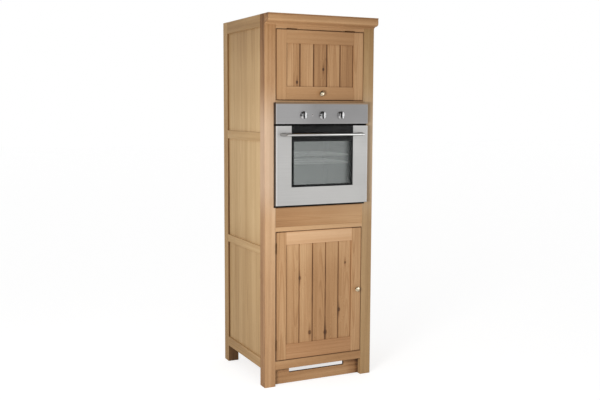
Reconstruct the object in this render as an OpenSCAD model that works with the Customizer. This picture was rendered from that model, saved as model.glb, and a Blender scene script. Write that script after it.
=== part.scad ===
// Tall oven housing unit in framed oak. Four corner posts run to the floor and carry framed
// sides. A cupboard with a lift-up flap sits above a built-in oven, and a cupboard with a
// left-hung door sits below it. All sizes are in millimetres, Z is up and the front faces -Y.
// The origin is on the floor, under the middle of the whole unit, oven handle included.

/* [Carcass] */
// Clear width between the front posts
opening_w = 570; // [560:1:580]
// Depth of the carcass from the front of the posts to the back
unit_d = 660; // [630:1:720]
// Width of a corner post, seen from the front
post_w = 68; // [58:1:80]
// Depth of a corner post, seen from the side
post_d = 68; // [50:1:90]
// Thickness of the rails of the sides, the back and the front
rail_t = 28; // [24:1:36]
// Thickness of a side panel or back panel
panel_t = 9; // [6:1:12]
// How far a panel lies behind the face of its frame
panel_recess = 12; // [6:1:14]
// Depth of the grooves and mortises in the frames
groove_d = 10; // [6:1:14]
// Thickness of the tenons on the front rails
tenon_t = 12; // [8:1:14]
// Chamfer along the edges of posts and rails
arris = 1.5; // [0.5:0.5:3]

/* [Front heights, from the floor up] */
// Height of the recessed plinth zone under the bottom rail
plinth_h = 100; // [80:1:140]
// Height of the bottom rail
bottom_rail_h = 50; // [40:1:70]
// Height of the door opening
lower_opening_h = 768; // [640:1:880]
// Height of the rail between the door and the apron
mid_rail_h = 26; // [22:1:40]
// Height of the apron, up to the top of the oven shelf
apron_h = 131; // [90:1:180]
// Height of the niche that the oven stands in
oven_niche_h = 571; // [567:1:580]
// Thickness of the board between the oven and the upper cupboard
upper_floor_t = 25; // [18:1:30]
// Height of the flap opening
upper_opening_h = 404; // [340:1:470]
// Height of the rail behind the cornice
top_rail_h = 80; // [72:1:110]

/* [Side and back frames] */
// Height of the lowest edge of the side frames
side_foot_h = 103; // [80:1:110]
// Height of the bottom rail of a side
side_bottom_rail_h = 59; // [50:1:80]
// Height of the lowest side panel
side_lower_panel_h = 621; // [500:1:700]
// Height of the lower cross rail of a side
side_lower_rail_h = 45; // [36:1:60]
// Height of the middle side panel
side_middle_panel_h = 610; // [500:1:700]
// Height of the upper cross rail of a side
side_upper_rail_h = 50; // [36:1:70]
// Height of the top rail of a side and of the back
side_top_rail_h = 70; // [60:1:90]
// Height of the two cross rails of the back
back_rail_h = 60; // [45:1:80]

/* [Cornice and plinth] */
// How far the cornice stands in front of the posts
cornice_reach = 50; // [30:1:70]
// Height of the cornice
cornice_h = 60; // [50:1:70]
// Height of the straight face of the cornice
cornice_face_h = 30; // [20:1:36]
// Thickness of the plinth board
plinth_t = 18; // [15:1:25]
// How far the plinth board lies behind the posts
plinth_recess = 30; // [10:1:40]
// Gap under the plinth board
plinth_gap = 3; // [3:1:15]
// Width of the vent slot in the plinth board
vent_slot_w = 368; // [200:1:460]
// Depth of the vent slot, down from the top edge of the plinth board
vent_slot_h = 35; // [15:1:50]

/* [Inner boards] */
// Thickness of the top board, the oven shelf and the lower floor
floor_t = 22; // [18:1:28]
// Thickness of the loose shelf
shelf_t = 18; // [15:1:25]
// Height of the top of the loose shelf above the lower floor
shelf_height = 390; // [350:1:430]
// Width and height of the bearers that the boards lie on
bearer = 34; // [24:1:38]
// Air gap behind the oven shelf, for the oven's warm air
shelf_air_gap = 60; // [20:1:90]
// Thickness of the apron under the oven
apron_t = 18; // [15:1:22]
// How far the apron lies behind the posts
apron_recess = 3; // [0:1:6]
// Radius of a shelf pin
pin_r = 2.5; // [2:0.5:3]
// Spacing of the shelf pin holes
pin_pitch = 32; // [25:1:40]

/* [Doors] */
// Thickness of the door and the flap
leaf_t = 22; // [20:1:26]
// Gap around the door and the flap
leaf_gap = 2.5; // [2:0.5:4]
// Width of the stiles
stile_w = 66; // [50:1:80]
// Height of the top rails and the flap's bottom rail
leaf_rail_h = 78; // [60:1:90]
// Height of the bottom rail of the door
door_bottom_rail_h = 92; // [70:1:110]
// Number of boards in a door
boards = 5; // [3:1:8]
// Thickness of the boards
board_t = 9; // [7:1:11]
// How far the boards lie behind the face of the frame
board_recess = 8; // [4:1:9]
// Width of the chamfers that form the V joints
board_vee = 2.5; // [1:0.5:3]
// Radius of a door knob
knob_r = 16.5; // [12:0.5:20]
// Height of a door knob
knob_h = 27; // [22:1:34]
// Height of the door's knob above the floor
door_knob_z = 539; // [400:1:700]
// Length of a butt hinge
hinge_len = 64; // [48:1:76]
// Radius of a hinge knuckle
knuckle_r = 3; // [2.5:0.25:4]
// Radius of a hinge pin
hinge_pin_r = 1.5; // [1:0.25:1.75]
// Thickness of a hinge leaf
leaf_plate_t = 1; // [0.6:0.1:1]

/* [Flap struts] */
// Strut pivot on the flap, behind the hinge axis
strut_pivot_y = 38; // [34:1:46]
// Strut pivot on the flap, below the hinge axis
strut_pivot_z = 190; // [170:1:210]
// Angle at the hinge axis between the two strut pivots, with the flap shut
strut_angle = 76; // [70:1:80]
// Opening angle of the flap
flap_opening = 80; // [60:1:84]
// Radius of the strut's cylinder
cylinder_r = 7.5; // [6:0.5:9]
// Radius of the strut's rod
rod_r = 3; // [2.5:0.5:4]
// Radius of the pivot pins of the struts
strut_pin_r = 4; // [3:0.5:4.5]
// Radius of the strut's end eyes
eye_r = 7; // [6:0.5:8]
// Thickness of the end eyes
eye_t = 8; // [6:1:10]

/* [Oven front] */
// How far the oven front laps over each front post
oven_lap = 13; // [11:0.5:15]
// How far the oven front reaches up over the edge of the board above it
oven_lap_up = 14; // [10:1:18]
// How far the oven front stands in front of the posts
oven_proud = 32; // [28:1:40]
// How far the oven's flange shows below its door
flange_lip = 12; // [3:1:14]
// How far the oven front reaches below the top of its shelf
oven_drop = 5; // [2:1:9]
// Height of the control panel
fascia_h = 121; // [100:1:130]
// Height of the vent gap between the control panel and the oven door
vent_gap = 12; // [10:1:16]
// Thickness of the sheet metal of the front
skin_t = 1.5; // [1:0.1:2]
// Width of the door glass
glass_w = 400; // [360:1:420]
// Distance of the door glass from the bottom of the oven door
glass_from_bottom = 106; // [90:1:120]
// Thickness of each glass pane
glass_t = 4; // [3:0.5:5]
// Distance of the handle's ends from the ends of the oven front
handle_inset = 49; // [40:1:90]
// Diameter of the handle bar
handle_d = 16; // [12:1:20]
// Distance of the handle's axis in front of the oven door
handle_standoff = 45; // [38:1:55]
// Distance of the handle's axis below the top of the oven door
handle_from_top = 49; // [35:1:60]
// Width of a handle bracket
bracket_w = 40; // [24:1:44]
// Place of the middle control knob
control_mid_x = -2; // [-10:1:10]
// Spacing of the control knobs
control_pitch = 121; // [90:1:125]
// Height of the control knobs above the bottom of the control panel
control_up = 49; // [40:1:60]
// Radius of a control knob's skirt
skirt_r = 22.5; // [18:0.5:26]
// Height of a control knob
control_h = 24; // [18:1:30]
// Place of the pilot lamp, from the middle of the unit
lamp_x = -68; // [-76:1:-60]

/* [Oven body] */
// Gap between the oven body and each side of its niche
body_gap = 7; // [6:0.5:10]
// Gap above the oven body
body_head_gap = 6; // [4:1:12]
// Depth of the oven body behind the front of the posts
body_d = 550; // [520:1:560]
// Thickness of the outer sheets of the oven body
sheet_t = 1.2; // [0.8:0.1:2]
// Space between the cavity and the outer sheet at each side
cavity_side = 43; // [36:1:58]
// Space between the cavity and the lower edge of the control panel
cavity_head = 39; // [30:1:50]
// Depth of the cavity
cavity_d = 420; // [380:1:440]
// Height of the cavity floor above the oven shelf
cavity_up = 75; // [70:1:78]
// Thickness of the cavity walls
cavity_t = 1.5; // [1:0.5:2]
// Spacing of the rack levels
level_pitch = 45; // [40:1:50]
// Height of the lowest rack level above the cavity floor
first_level = 67; // [50:1:75]
// Number of wires across a rack
rack_wires = 12; // [8:1:16]
// Travel of a rack behind the closed door
rack_travel = 20; // [10:1:22]

/* [Hidden] */
fit = 0.2;                 // clearance of a glued or pushed joint
run_gap = 0.3;             // clearance between pieces that move past each other
overcut = 1;               // how far a cut runs past the face it opens
fine = 48;                 // segments of a round shape

unit_w = opening_w + 2 * post_w;
side_x = unit_w / 2;
inner_x = opening_w / 2;
front_reach = oven_proud + handle_standoff + handle_d / 2;
front_y = (front_reach - unit_d) / 2;
back_y = front_y + unit_d;
side_y0 = front_y + post_d;      // the sides lie between the front and the back posts
side_y1 = back_y - post_d;
tongue = groove_d - fit;         // length of a tongue in its groove

tenon_in = 8;                                 // front rail tenons lie this far behind the front
tenon_shoulder = 4;                           // shoulders above and below those tenons
apron_tongue_in = 6;                          // the apron's end tongues leave this much in front
tongue_x = 3;                                 // reach of a door board's tongue
tongue_t = 2.5;                               // thickness of a door board's tongue
tongue_y = (board_t - tongue_t) / 2 + 0.5;
catch_len = 46;                               // magnetic catch: length, depth and height
catch_d = 14;
catch_h = 13;
strike_len = 38;                              // strike plate: length, width and thickness
strike_w = 11;
strike_t = 1.5;
wall_hole_r = 2.5;                            // holes for the screws into the wall
wall_hole_x = 200;

bottom_rail_z = plinth_h;
lower_z0 = bottom_rail_z + bottom_rail_h;
lower_z1 = lower_z0 + lower_opening_h;
apron_z0 = lower_z1 + mid_rail_h;
oven_shelf_z = apron_z0 + apron_h;
niche_z1 = oven_shelf_z + oven_niche_h;
upper_z0 = niche_z1 + upper_floor_t;
upper_z1 = upper_z0 + upper_opening_h;
unit_h = upper_z1 + top_rail_h;

side_bottom_z1 = side_foot_h + side_bottom_rail_h;
side_lower_z0 = side_bottom_z1 + side_lower_panel_h;
side_lower_z1 = side_lower_z0 + side_lower_rail_h;
side_upper_z0 = side_lower_z1 + side_middle_panel_h;
side_upper_z1 = side_upper_z0 + side_upper_rail_h;
side_top_z0 = unit_h - side_top_rail_h;
panel_x = -side_x + panel_recess;             // outer face of a left side panel
panel_y = back_y - panel_recess - panel_t;    // inner face of a back panel
back_lower_z0 = oven_shelf_z - back_rail_h;
back_upper_z0 = upper_z0 - back_rail_h;
board_x = side_x - rail_t - fit;              // half width of the fixed boards
board_y1 = back_y - rail_t - fit;             // back edge of the fixed boards
lower_floor_z = lower_z0;                     // top of the lower floor
top_inset = 3;                                // the top board lies this far below the rails
shelf_top_z = lower_floor_z + shelf_height;
shelf_y0 = front_y + leaf_t + strike_t + catch_d + 4;
shelf_y1 = panel_y - 4;
pin_head_r = pin_r + 1.5;                     // the thick end of a pin, which the shelf lies on
pin_head_len = 8;
pin_depth = 12;                               // depth of a shelf pin hole
pin_z = shelf_top_z - shelf_t - pin_head_r - fit;
pin_post_y = 20;                              // shelf pins from the open face of their post
pin_rows = 5;                                 // holes in each row of shelf pin holes

leaf_x = inner_x - leaf_gap;                  // half width of the door and the flap
panel_half = leaf_x - stile_w;                // half width of the boarded field
flap_z0 = upper_z0 + leaf_gap;
flap_z1 = upper_z1 - leaf_gap;
door_z0 = lower_z0 + leaf_gap;
door_z1 = lower_z1 - leaf_gap;
leaf_back_y = front_y + leaf_t;
hinge_y = front_y - knuckle_r;                // axis of all butt hinges
flap_axis_z = upper_z1 - leaf_gap / 2;
door_axis_x = -inner_x + leaf_gap / 2;
hinge_inset = 95;                             // hinge centres from the ends of the door
plate_depth = 18;                             // reach of a hinge leaf into the gap

// The two strut pivots lie on one circle round the hinge axis, so the strut's cylinder turns
// through exactly half the angle of the flap, and the rod stays in line with it.
strut_circle = norm([strut_pivot_y, strut_pivot_z]);
strut_start = atan2(strut_pivot_y, strut_pivot_z);
strut_frame_y = strut_circle * sin(strut_start + strut_angle);
strut_frame_z = strut_circle * cos(strut_start + strut_angle);
strut_shut = 2 * strut_circle * sin(strut_angle / 2);
strut_open = 2 * strut_circle * sin((strut_angle + flap_opening) / 2);
strut_eye_x = inner_x - 19;                   // middle of the end eyes
strut_head_t = 1.5;
strut_plate_w = 28;                           // plates that carry the pivot pins
strut_plate_h = 40;
ear_t = 2;
ear_h = 18;
cylinder_start = eye_r + 5;                   // the cylinder begins this far from its pivot
rod_grip = 14;                                // rod that stays in the cylinder, flap open
cylinder_end = strut_shut - eye_r - 20;
rod_len = strut_open - cylinder_end + rod_grip;
packer_x = strut_eye_x + eye_t / 2 + 8;       // inner face of the strut's packing block
packer_half = 30;                             // half depth of the block, and its reach below
packer_drop = 24;                             // the pivot
strut_pivot_frame_z = flap_axis_z - strut_frame_z;
top_board_z0 = unit_h - top_inset - floor_t;

oven_w = opening_w + 2 * oven_lap;
oven_y = front_y - oven_proud;                // front face of the oven
oven_z0 = oven_shelf_z - oven_drop;
oven_z1 = niche_z1 + oven_lap_up;
fascia_z0 = oven_z1 - fascia_h;
oven_door_z1 = fascia_z0 - vent_gap;
flange_t = 2;                                 // oven flange on the front of the posts
seal_t = 2;
oven_door_t = oven_proud - flange_t - seal_t - run_gap;
oven_door_y1 = oven_y + oven_door_t;
flange_y = front_y - flange_t;
oven_axis_y = oven_y + 12;                    // axis of the drop-down door
oven_axis_z = oven_z0 + 8;
arm_x = oven_w / 2 - 50;                      // hinge arms from the middle
arm_t = 5;
arm_boss_r = 5.5;
arm_pin_r = 2.5;
arm_slot = 4.5;                               // half width of the slots for the arms
fixing_x = (inner_x + oven_w / 2) / 2;        // screws that hold the flange to the posts
fixing_from_bottom = 60;
fixing_from_top = 30;
duct_z0 = fascia_z0 + 12;                     // mouth of the cooling duct above the cavity
duct_z1 = niche_z1 - 24;
glass_z0 = oven_z0 + glass_from_bottom;
glass_x = glass_w / 2;
handle_len = oven_w - 2 * handle_inset;
handle_y = oven_y - handle_standoff;
handle_z = oven_door_z1 - handle_from_top;
control_z = fascia_z0 + control_up;
shaft_r = 4;
shaft_len = 18;
switch_d = 24;
switch_w = 34;
lamp_r = 4;
body_x = inner_x - body_gap;                  // half width of the oven body
body_z1 = niche_z1 - body_head_gap;
body_y1 = front_y + body_d;
louvres = 14;                                 // slots in the back sheet of the body
louvre_pitch = 33;
louvre_w = 6;
louvre_h = 50;
terminal_w = 95;                              // terminal box: size, place and inlet
terminal_h = 70;
terminal_d = 28;
terminal_in = 63;
terminal_up = 60;
inlet_r = 6;
cavity_x = body_x - cavity_side;
cavity_z0 = oven_shelf_z + cavity_up;
cavity_z1 = fascia_z0 - cavity_head;
cavity_y1 = front_y + cavity_d;
view_x = cavity_x - 51;                       // the view through the inner frame of the door
view_z0 = glass_z0 + 11;
view_z1 = cavity_z1 - 61;
element_r = 3.2;                              // grill element: tube, bends and place
element_bend = 45;
element_drop = 16;
element_from_front = 110;
element_from_back = 60;
level_z0 = cavity_z0 + first_level;
levels = 5;
ladder_r = 2.2;
ladder_foot = 20;                             // wire ladders: place of the uprights
ladder_head = 40;
ladder_from_front = 40;
ladder_from_back = 60;
runner_from_front = 14;
runner_r = 2;
rack_r = 3;
ladder_x = cavity_x - ladder_r - run_gap;
runner_x = ladder_x - 3;
rack_x = runner_x - 3;
rack_lift = 4.4;                              // rack wire above the runner it rests on
rack_y0 = front_y + rack_travel + 8;
rack_y1 = cavity_y1 - 8;

oak = [0.76, 0.60, 0.42];
pale_oak = [0.80, 0.66, 0.48];
steel = [0.78, 0.78, 0.77];
dark = [0.10, 0.10, 0.11];
nickel = [0.72, 0.70, 0.66];

// A box given by its lowest and its highest corner
module block(low, high) {
    translate(low) cube(high - low);
}

// A rectangle of the given size with its corners cut off
function cut_corners(w, d, c) = [
    [c, 0], [w - c, 0], [w, c], [w, d - c], [w - c, d], [c, d], [0, d - c], [0, c]
];

// Square timber along Z, X or Y between two corners, with a chamfer along its length
module bar_z(low, high, c = arris) {
    s = high - low;
    translate(low) linear_extrude(s.z) polygon(cut_corners(s.x, s.y, c));
}

module bar_x(low, high, c = arris) {
    s = high - low;
    translate(low) rotate([90, 0, 90]) linear_extrude(s.x) polygon(cut_corners(s.y, s.z, c));
}

module bar_y(low, high, c = arris) {
    s = high - low;
    translate([low.x, high.y, low.z]) rotate([90, 0, 0])
        linear_extrude(s.y) polygon(cut_corners(s.x, s.z, c));
}

module both_sides() {
    for (side = [0, 1]) mirror([side, 0, 0]) children();
}

// A rod along X, Y or Z that starts at a point
module rod_x(start, r, len) {
    translate(start) rotate([0, 90, 0]) cylinder(r = r, h = len, $fn = fine);
}

module rod_y(start, r, len) {
    translate(start) rotate([-90, 0, 0]) cylinder(r = r, h = len, $fn = fine);
}

module rod_z(start, r, len) {
    translate(start) cylinder(r = r, h = len, $fn = fine);
}

// ---------------------------------------------------------------- posts and frames

// Groove for the side panels and rails, in the face of a left post that looks at the other
// post. It starts at the side frame's foot and runs out at the top.
module side_groove(face_y, inward) {
    y0 = inward > 0 ? face_y - groove_d : face_y - overcut;
    block([panel_x - fit, y0, side_foot_h],
          [panel_x + panel_t + fit, y0 + groove_d + overcut, unit_h + overcut]);
}

// Mortises in the inner face of a left front post, one for each front rail and the apron
module front_mortises() {
    for (span = [[bottom_rail_z, lower_z0], [lower_z1, apron_z0], [upper_z1, unit_h]])
        block([-inner_x - groove_d, front_y + tenon_in - fit, span[0] + tenon_shoulder - fit],
              [-inner_x + overcut, front_y + tenon_in + tenon_t + fit,
               span[1] - tenon_shoulder + fit]);
    block([-inner_x - groove_d, front_y + apron_recess + apron_tongue_in - fit, apron_z0],
          [-inner_x + overcut, front_y + apron_recess + apron_t + fit, oven_shelf_z + fit]);
}

// Grooves in the inner face of a left back post, for the back rails and the two back panels
module back_grooves() {
    for (span = [[side_foot_h, oven_shelf_z], [back_upper_z0, unit_h + overcut]])
        block([-inner_x - groove_d, panel_y - fit, span[0] - fit],
              [-inner_x + overcut, panel_y + panel_t + fit, span[1] + fit]);
}

// A column of holes for the shelf pins, in the inner face of a left post
module pin_holes(y) {
    for (row = [0 : pin_rows - 1])
        rod_x([-inner_x - pin_depth, y, pin_z + (row - (pin_rows - 1) / 2) * pin_pitch],
              pin_r + fit / 2, pin_depth + overcut);
}

module left_front_post() {
    difference() {
        bar_z([-side_x, front_y, 0], [-inner_x, side_y0, unit_h]);
        side_groove(side_y0, 1);
        front_mortises();
        pin_holes(side_y0 - pin_post_y);
    }
}

module left_back_post() {
    difference() {
        bar_z([-side_x, side_y1, 0], [-inner_x, back_y, unit_h]);
        side_groove(side_y1, -1);
        back_grooves();
        pin_holes(side_y1 + pin_post_y);
    }
}

module front_left_post() { color(oak) left_front_post(); }
module front_right_post() { color(oak) mirror([1, 0, 0]) left_front_post(); }
module back_left_post() { color(oak) left_back_post(); }
module back_right_post() { color(oak) mirror([1, 0, 0]) left_back_post(); }

// One rail of the left side, with a tongue at each end and grooves for the panels
module side_rail(z0, z1, groove_below, groove_above) {
    difference() {
        union() {
            bar_y([-side_x, side_y0, z0], [-side_x + rail_t, side_y1, z1]);
            block([panel_x, side_y0 - tongue, z0], [panel_x + panel_t, side_y1 + tongue, z1]);
        }
        if (groove_below)
            block([panel_x - fit, side_y0 - groove_d - overcut, z0 - overcut],
                  [panel_x + panel_t + fit, side_y1 + groove_d + overcut, z0 + groove_d]);
        if (groove_above)
            block([panel_x - fit, side_y0 - groove_d - overcut, z1 - groove_d],
                  [panel_x + panel_t + fit, side_y1 + groove_d + overcut, z1 + overcut]);
    }
}

module left_rails() {
    side_rail(side_foot_h, side_bottom_z1, false, true);
    side_rail(side_lower_z0, side_lower_z1, true, true);
    side_rail(side_upper_z0, side_upper_z1, true, true);
    side_rail(side_top_z0, unit_h, true, false);
}

module left_side_rails() { color(oak) left_rails(); }
module right_side_rails() { color(oak) mirror([1, 0, 0]) left_rails(); }

// Three plain panels on each side, held in the grooves all round
module side_panels() {
    color(pale_oak) both_sides()
        for (span = [[side_bottom_z1, side_lower_z0], [side_lower_z1, side_upper_z0],
                     [side_upper_z1, side_top_z0]])
            block([panel_x, side_y0 - tongue, span[0] - tongue],
                  [panel_x + panel_t, side_y1 + tongue, span[1] + tongue]);
}

// One rail of the back. The top rail takes the two screws that hold the unit to a wall.
module back_rail(z0, z1, groove_below, groove_above) {
    difference() {
        union() {
            bar_x([-inner_x, back_y - rail_t, z0], [inner_x, back_y, z1]);
            block([-inner_x - tongue, panel_y, z0], [inner_x + tongue, panel_y + panel_t, z1]);
        }
        if (groove_below)
            block([-inner_x - groove_d - overcut, panel_y - fit, z0 - overcut],
                  [inner_x + groove_d + overcut, panel_y + panel_t + fit, z0 + groove_d]);
        if (groove_above)
            block([-inner_x - groove_d - overcut, panel_y - fit, z1 - groove_d],
                  [inner_x + groove_d + overcut, panel_y + panel_t + fit, z1 + overcut]);
    }
}

module back_rails() {
    color(oak) {
        back_rail(side_foot_h, side_bottom_z1, false, true);
        back_rail(back_lower_z0, oven_shelf_z, true, false);
        back_rail(back_upper_z0, upper_z0, false, true);
        difference() {
            back_rail(side_top_z0, unit_h, true, false);
            both_sides() rod_y([wall_hole_x, back_y - rail_t - overcut, unit_h - bearer],
                               wall_hole_r, rail_t + 2 * overcut);
        }
    }
}

module back_panels() {
    color(pale_oak)
        for (span = [[side_bottom_z1, back_lower_z0], [upper_z0, side_top_z0]])
            block([-inner_x - tongue, panel_y, span[0] - tongue],
                  [inner_x + tongue, panel_y + panel_t, span[1] + tongue]);
}

// A rail of the front, with a shouldered tenon at each end
module front_rail(z0, z1) {
    bar_x([-inner_x, front_y, z0], [inner_x, front_y + rail_t, z1]);
    block([-inner_x - tongue, front_y + tenon_in, z0 + tenon_shoulder],
          [inner_x + tongue, front_y + tenon_in + tenon_t, z1 - tenon_shoulder]);
}

module front_top_rail() { color(oak) front_rail(upper_z1, unit_h); }
module front_middle_rail() { color(pale_oak) front_rail(lower_z1, apron_z0); }
module front_bottom_rail() { color(oak) front_rail(bottom_rail_z, lower_z0); }

// The plain board under the oven. Its end tongues are at the back of its thickness.
module oven_apron() {
    y0 = front_y + apron_recess;
    color(oak) {
        block([-inner_x, y0, apron_z0], [inner_x, y0 + apron_t, oven_shelf_z]);
        block([-inner_x - tongue, y0 + apron_tongue_in, apron_z0 + fit],
              [inner_x + tongue, y0 + apron_t, oven_shelf_z]);
    }
}

// The plinth board, with the vent slot let into its top edge
module plinth_board() {
    y0 = front_y + plinth_recess;
    color(oak) difference() {
        block([-inner_x, y0, plinth_gap], [inner_x, y0 + plinth_t, bottom_rail_z]);
        block([-vent_slot_w / 2, y0 - overcut, bottom_rail_z - vent_slot_h],
              [vent_slot_w / 2, y0 + plinth_t + overcut, bottom_rail_z + overcut]);
    }
}

// Cornice: a straight face, a small step and a cove that runs back to the posts
module cornice() {
    step = 4;
    cove_y = cornice_reach - 2 * step;
    cove_z = cornice_h - cornice_face_h - 2;
    cove = [for (a = [90 : -9 : 0]) [-cornice_reach + step + cove_y * cos(a), cove_z * sin(a)]];
    outline = concat([[0, cornice_h], [-cornice_reach + arris, cornice_h],
                      [-cornice_reach, cornice_h - arris],
                      [-cornice_reach, cornice_h - cornice_face_h],
                      [-cornice_reach + step, cornice_h - cornice_face_h]],
                     cove, [[0, 0]]);
    color(oak) translate([-side_x, front_y, unit_h - cornice_h])
        rotate([90, 0, 90]) linear_extrude(unit_w) polygon(outline);
}

// ---------------------------------------------------------------- inner boards

// A fixed board, notched round the posts, with its top at z. Its front edge is at y0.
module notched_board(y0, y1, z, t) {
    difference() {
        block([-board_x, y0, z - t], [board_x, y1, z]);
        both_sides() {
            block([-board_x - overcut, y0 - overcut, z - t - overcut],
                  [-inner_x + fit, side_y0 + fit, z + overcut]);
            block([-board_x - overcut, side_y1 - fit, z - t - overcut],
                  [-inner_x + fit, y1 + overcut, z + overcut]);
        }
    }
}

module top_board() {
    color(pale_oak) notched_board(front_y + rail_t + fit, board_y1, unit_h - top_inset, floor_t);
}

module upper_floor() {
    color(pale_oak) notched_board(front_y, board_y1, upper_z0, upper_floor_t);
}

module oven_shelf() {
    color(pale_oak) notched_board(front_y + apron_recess + apron_t, board_y1 - shelf_air_gap,
                                  oven_shelf_z, floor_t);
}

module lower_floor() {
    color(pale_oak) notched_board(front_y + rail_t + fit, board_y1, lower_floor_z, floor_t);
}

// Bearers between the posts, under each fixed board, and the blocks that the struts are
// screwed to
module floor_bearers() {
    undersides = [top_board_z0, niche_z1, oven_shelf_z - floor_t, lower_floor_z - floor_t];
    color(pale_oak) both_sides() {
        for (z = undersides)
            block([-board_x, side_y0, z - bearer], [-board_x + bearer, side_y1, z]);
        block([-board_x, hinge_y + strut_frame_y - packer_half,
               strut_pivot_frame_z - packer_drop],
              [-packer_x, hinge_y + strut_frame_y + packer_half, top_board_z0 - bearer]);
    }
}

// The loose shelf of the lower cupboard
module loose_shelf() {
    color(pale_oak) bar_x([-inner_x + run_gap, shelf_y0, shelf_top_z - shelf_t],
                          [inner_x - run_gap, shelf_y1, shelf_top_z], 1);
}

// Four shelf pins: a peg in the post, and a thicker head that the shelf lies on
module shelf_pins() {
    color(nickel) both_sides()
        for (y = [side_y0 - pin_post_y, side_y1 + pin_post_y]) {
            rod_x([-inner_x - pin_depth + fit, y, pin_z], pin_r, pin_depth);
            rod_x([-inner_x, y, pin_z], pin_head_r, pin_head_len);
        }
}

// ---------------------------------------------------------------- butt hinges

// The frame's half of a butt hinge: two outer knuckles, the pin and the leaf. The axis is Z,
// the leaf lies towards -X and reaches into the gap along +Y.
module hinge_frame_half() {
    third = hinge_len / 3;
    gap_half = leaf_gap / 2;
    for (z0 = [0, 2 * third + 0.1])
        translate([0, 0, z0]) {
            cylinder(r = knuckle_r, h = third - 0.1, $fn = fine);
            block([-gap_half, 0, 0],
                  [-gap_half + leaf_plate_t, knuckle_r + 2 * run_gap, third - 0.1]);
        }
    cylinder(r = hinge_pin_r, h = hinge_len, $fn = fine);
    block([-gap_half, knuckle_r + run_gap, 0],
          [-gap_half + leaf_plate_t, knuckle_r + plate_depth, hinge_len]);
}

// The door's half: the middle knuckle, bored for the pin, and its leaf
module hinge_leaf_half() {
    third = hinge_len / 3;
    gap_half = leaf_gap / 2;
    difference() {
        translate([0, 0, third]) {
            cylinder(r = knuckle_r, h = third, $fn = fine);
            block([gap_half - leaf_plate_t, 0, 0],
                  [gap_half, knuckle_r + 2 * run_gap, third]);
        }
        translate([0, 0, third - overcut])
            cylinder(r = hinge_pin_r + 0.1, h = third + 2 * overcut, $fn = fine);
    }
    block([gap_half - leaf_plate_t, knuckle_r + run_gap, 0],
          [gap_half, knuckle_r + plate_depth, hinge_len]);
}

module at_flap_hinges() {
    for (x = [-leaf_x + hinge_inset, leaf_x - hinge_inset])
        translate([x - hinge_len / 2, hinge_y, flap_axis_z]) rotate([0, 90, 0]) children();
}

module at_door_hinges() {
    for (z = [door_z0 + hinge_inset, door_z1 - hinge_inset])
        translate([door_axis_x, hinge_y, z - hinge_len / 2]) children();
}

module hinge_frame_leaves() {
    color(nickel) {
        at_flap_hinges() hinge_frame_half();
        at_door_hinges() hinge_frame_half();
    }
}

module flap_hinge_leaves() { color(nickel) at_flap_hinges() hinge_leaf_half(); }
module door_hinge_leaves() { color(nickel) at_door_hinges() hinge_leaf_half(); }

// ---------------------------------------------------------------- framed leaves

// A stile on the left of a door or a flap, grooved along its inner edge
module stile(z0, z1) {
    difference() {
        bar_z([-leaf_x, front_y, z0], [-panel_half, leaf_back_y, z1], arris);
        block([-panel_half - groove_d, front_y + board_recess - fit, z0 - overcut],
              [-panel_half + overcut, front_y + board_recess + board_t + fit, z1 + overcut]);
    }
}

// A rail of a door or a flap. Its tongues fill the stile grooves, and the edge that faces
// the boards is grooved for them.
module leaf_rail(z0, z1, boards_above) {
    difference() {
        union() {
            bar_x([-panel_half, front_y, z0], [panel_half, leaf_back_y, z1]);
            block([-panel_half - tongue, front_y + board_recess, z0],
                  [panel_half + tongue, front_y + board_recess + board_t, z1]);
        }
        z = boards_above ? z1 - groove_d : z0 - overcut;
        block([-panel_half - groove_d - overcut, front_y + board_recess - fit, z],
              [panel_half + groove_d + overcut, front_y + board_recess + board_t + fit,
               z + groove_d + overcut]);
    }
}

// The outline of one board, seen from above: V chamfers in front, a groove on the left and a
// tongue on the right. The two outer boards run on into the stiles instead.
function board_outline(w, first, last) = concat(
    first ? [[-tongue, 0]] : [[0, board_vee]],
    first ? [] : [[board_vee, 0]],
    last ? [[w + tongue, 0], [w + tongue, board_t]]
         : [[w - board_vee - fit, 0], [w - fit, board_vee], [w - fit, tongue_y],
            [w + tongue_x, tongue_y], [w + tongue_x, tongue_y + tongue_t],
            [w - fit, tongue_y + tongue_t], [w - fit, board_t]],
    first ? [[-tongue, board_t]]
          : [[0, board_t], [0, tongue_y + tongue_t + fit],
             [tongue_x + fit, tongue_y + tongue_t + fit], [tongue_x + fit, tongue_y - fit],
             [0, tongue_y - fit]]);

module board_row(z0, z1) {
    w = 2 * panel_half / boards;
    for (i = [0 : boards - 1])
        translate([-panel_half + i * w, front_y + board_recess, z0 - tongue])
            linear_extrude(z1 - z0 + 2 * tongue)
                polygon(board_outline(w, i == 0, i == boards - 1));
}

// A turned knob on the face of a door, with its foot at the origin and its axis along -Y
module turned_knob() {
    head_z = knob_h / 3;
    head = [for (a = [-55 : 12 : 80])
        [knob_r * cos(a), knob_h - head_z + head_z * sin(a)]];
    rotate([90, 0, 0]) rotate_extrude($fn = fine)
        polygon(concat([[0, 0], [knob_r * 0.5, 0], [knob_r * 0.5, 1.5], [knob_r * 0.38, 4],
                        [knob_r * 0.38, knob_h * 0.42]], head, [[0, knob_h]]));
}

module flap_stiles() { color(oak) both_sides() stile(flap_z0, flap_z1); }

module flap_rails() {
    color(oak) {
        leaf_rail(flap_z0, flap_z0 + leaf_rail_h, true);
        leaf_rail(flap_z1 - leaf_rail_h, flap_z1, false);
    }
}

module flap_boards() {
    color(pale_oak) board_row(flap_z0 + leaf_rail_h, flap_z1 - leaf_rail_h);
}

module flap_knob() {
    color(nickel) translate([0, front_y, flap_z0 + leaf_rail_h / 2]) turned_knob();
}

module door_stiles() { color(oak) both_sides() stile(door_z0, door_z1); }

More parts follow.
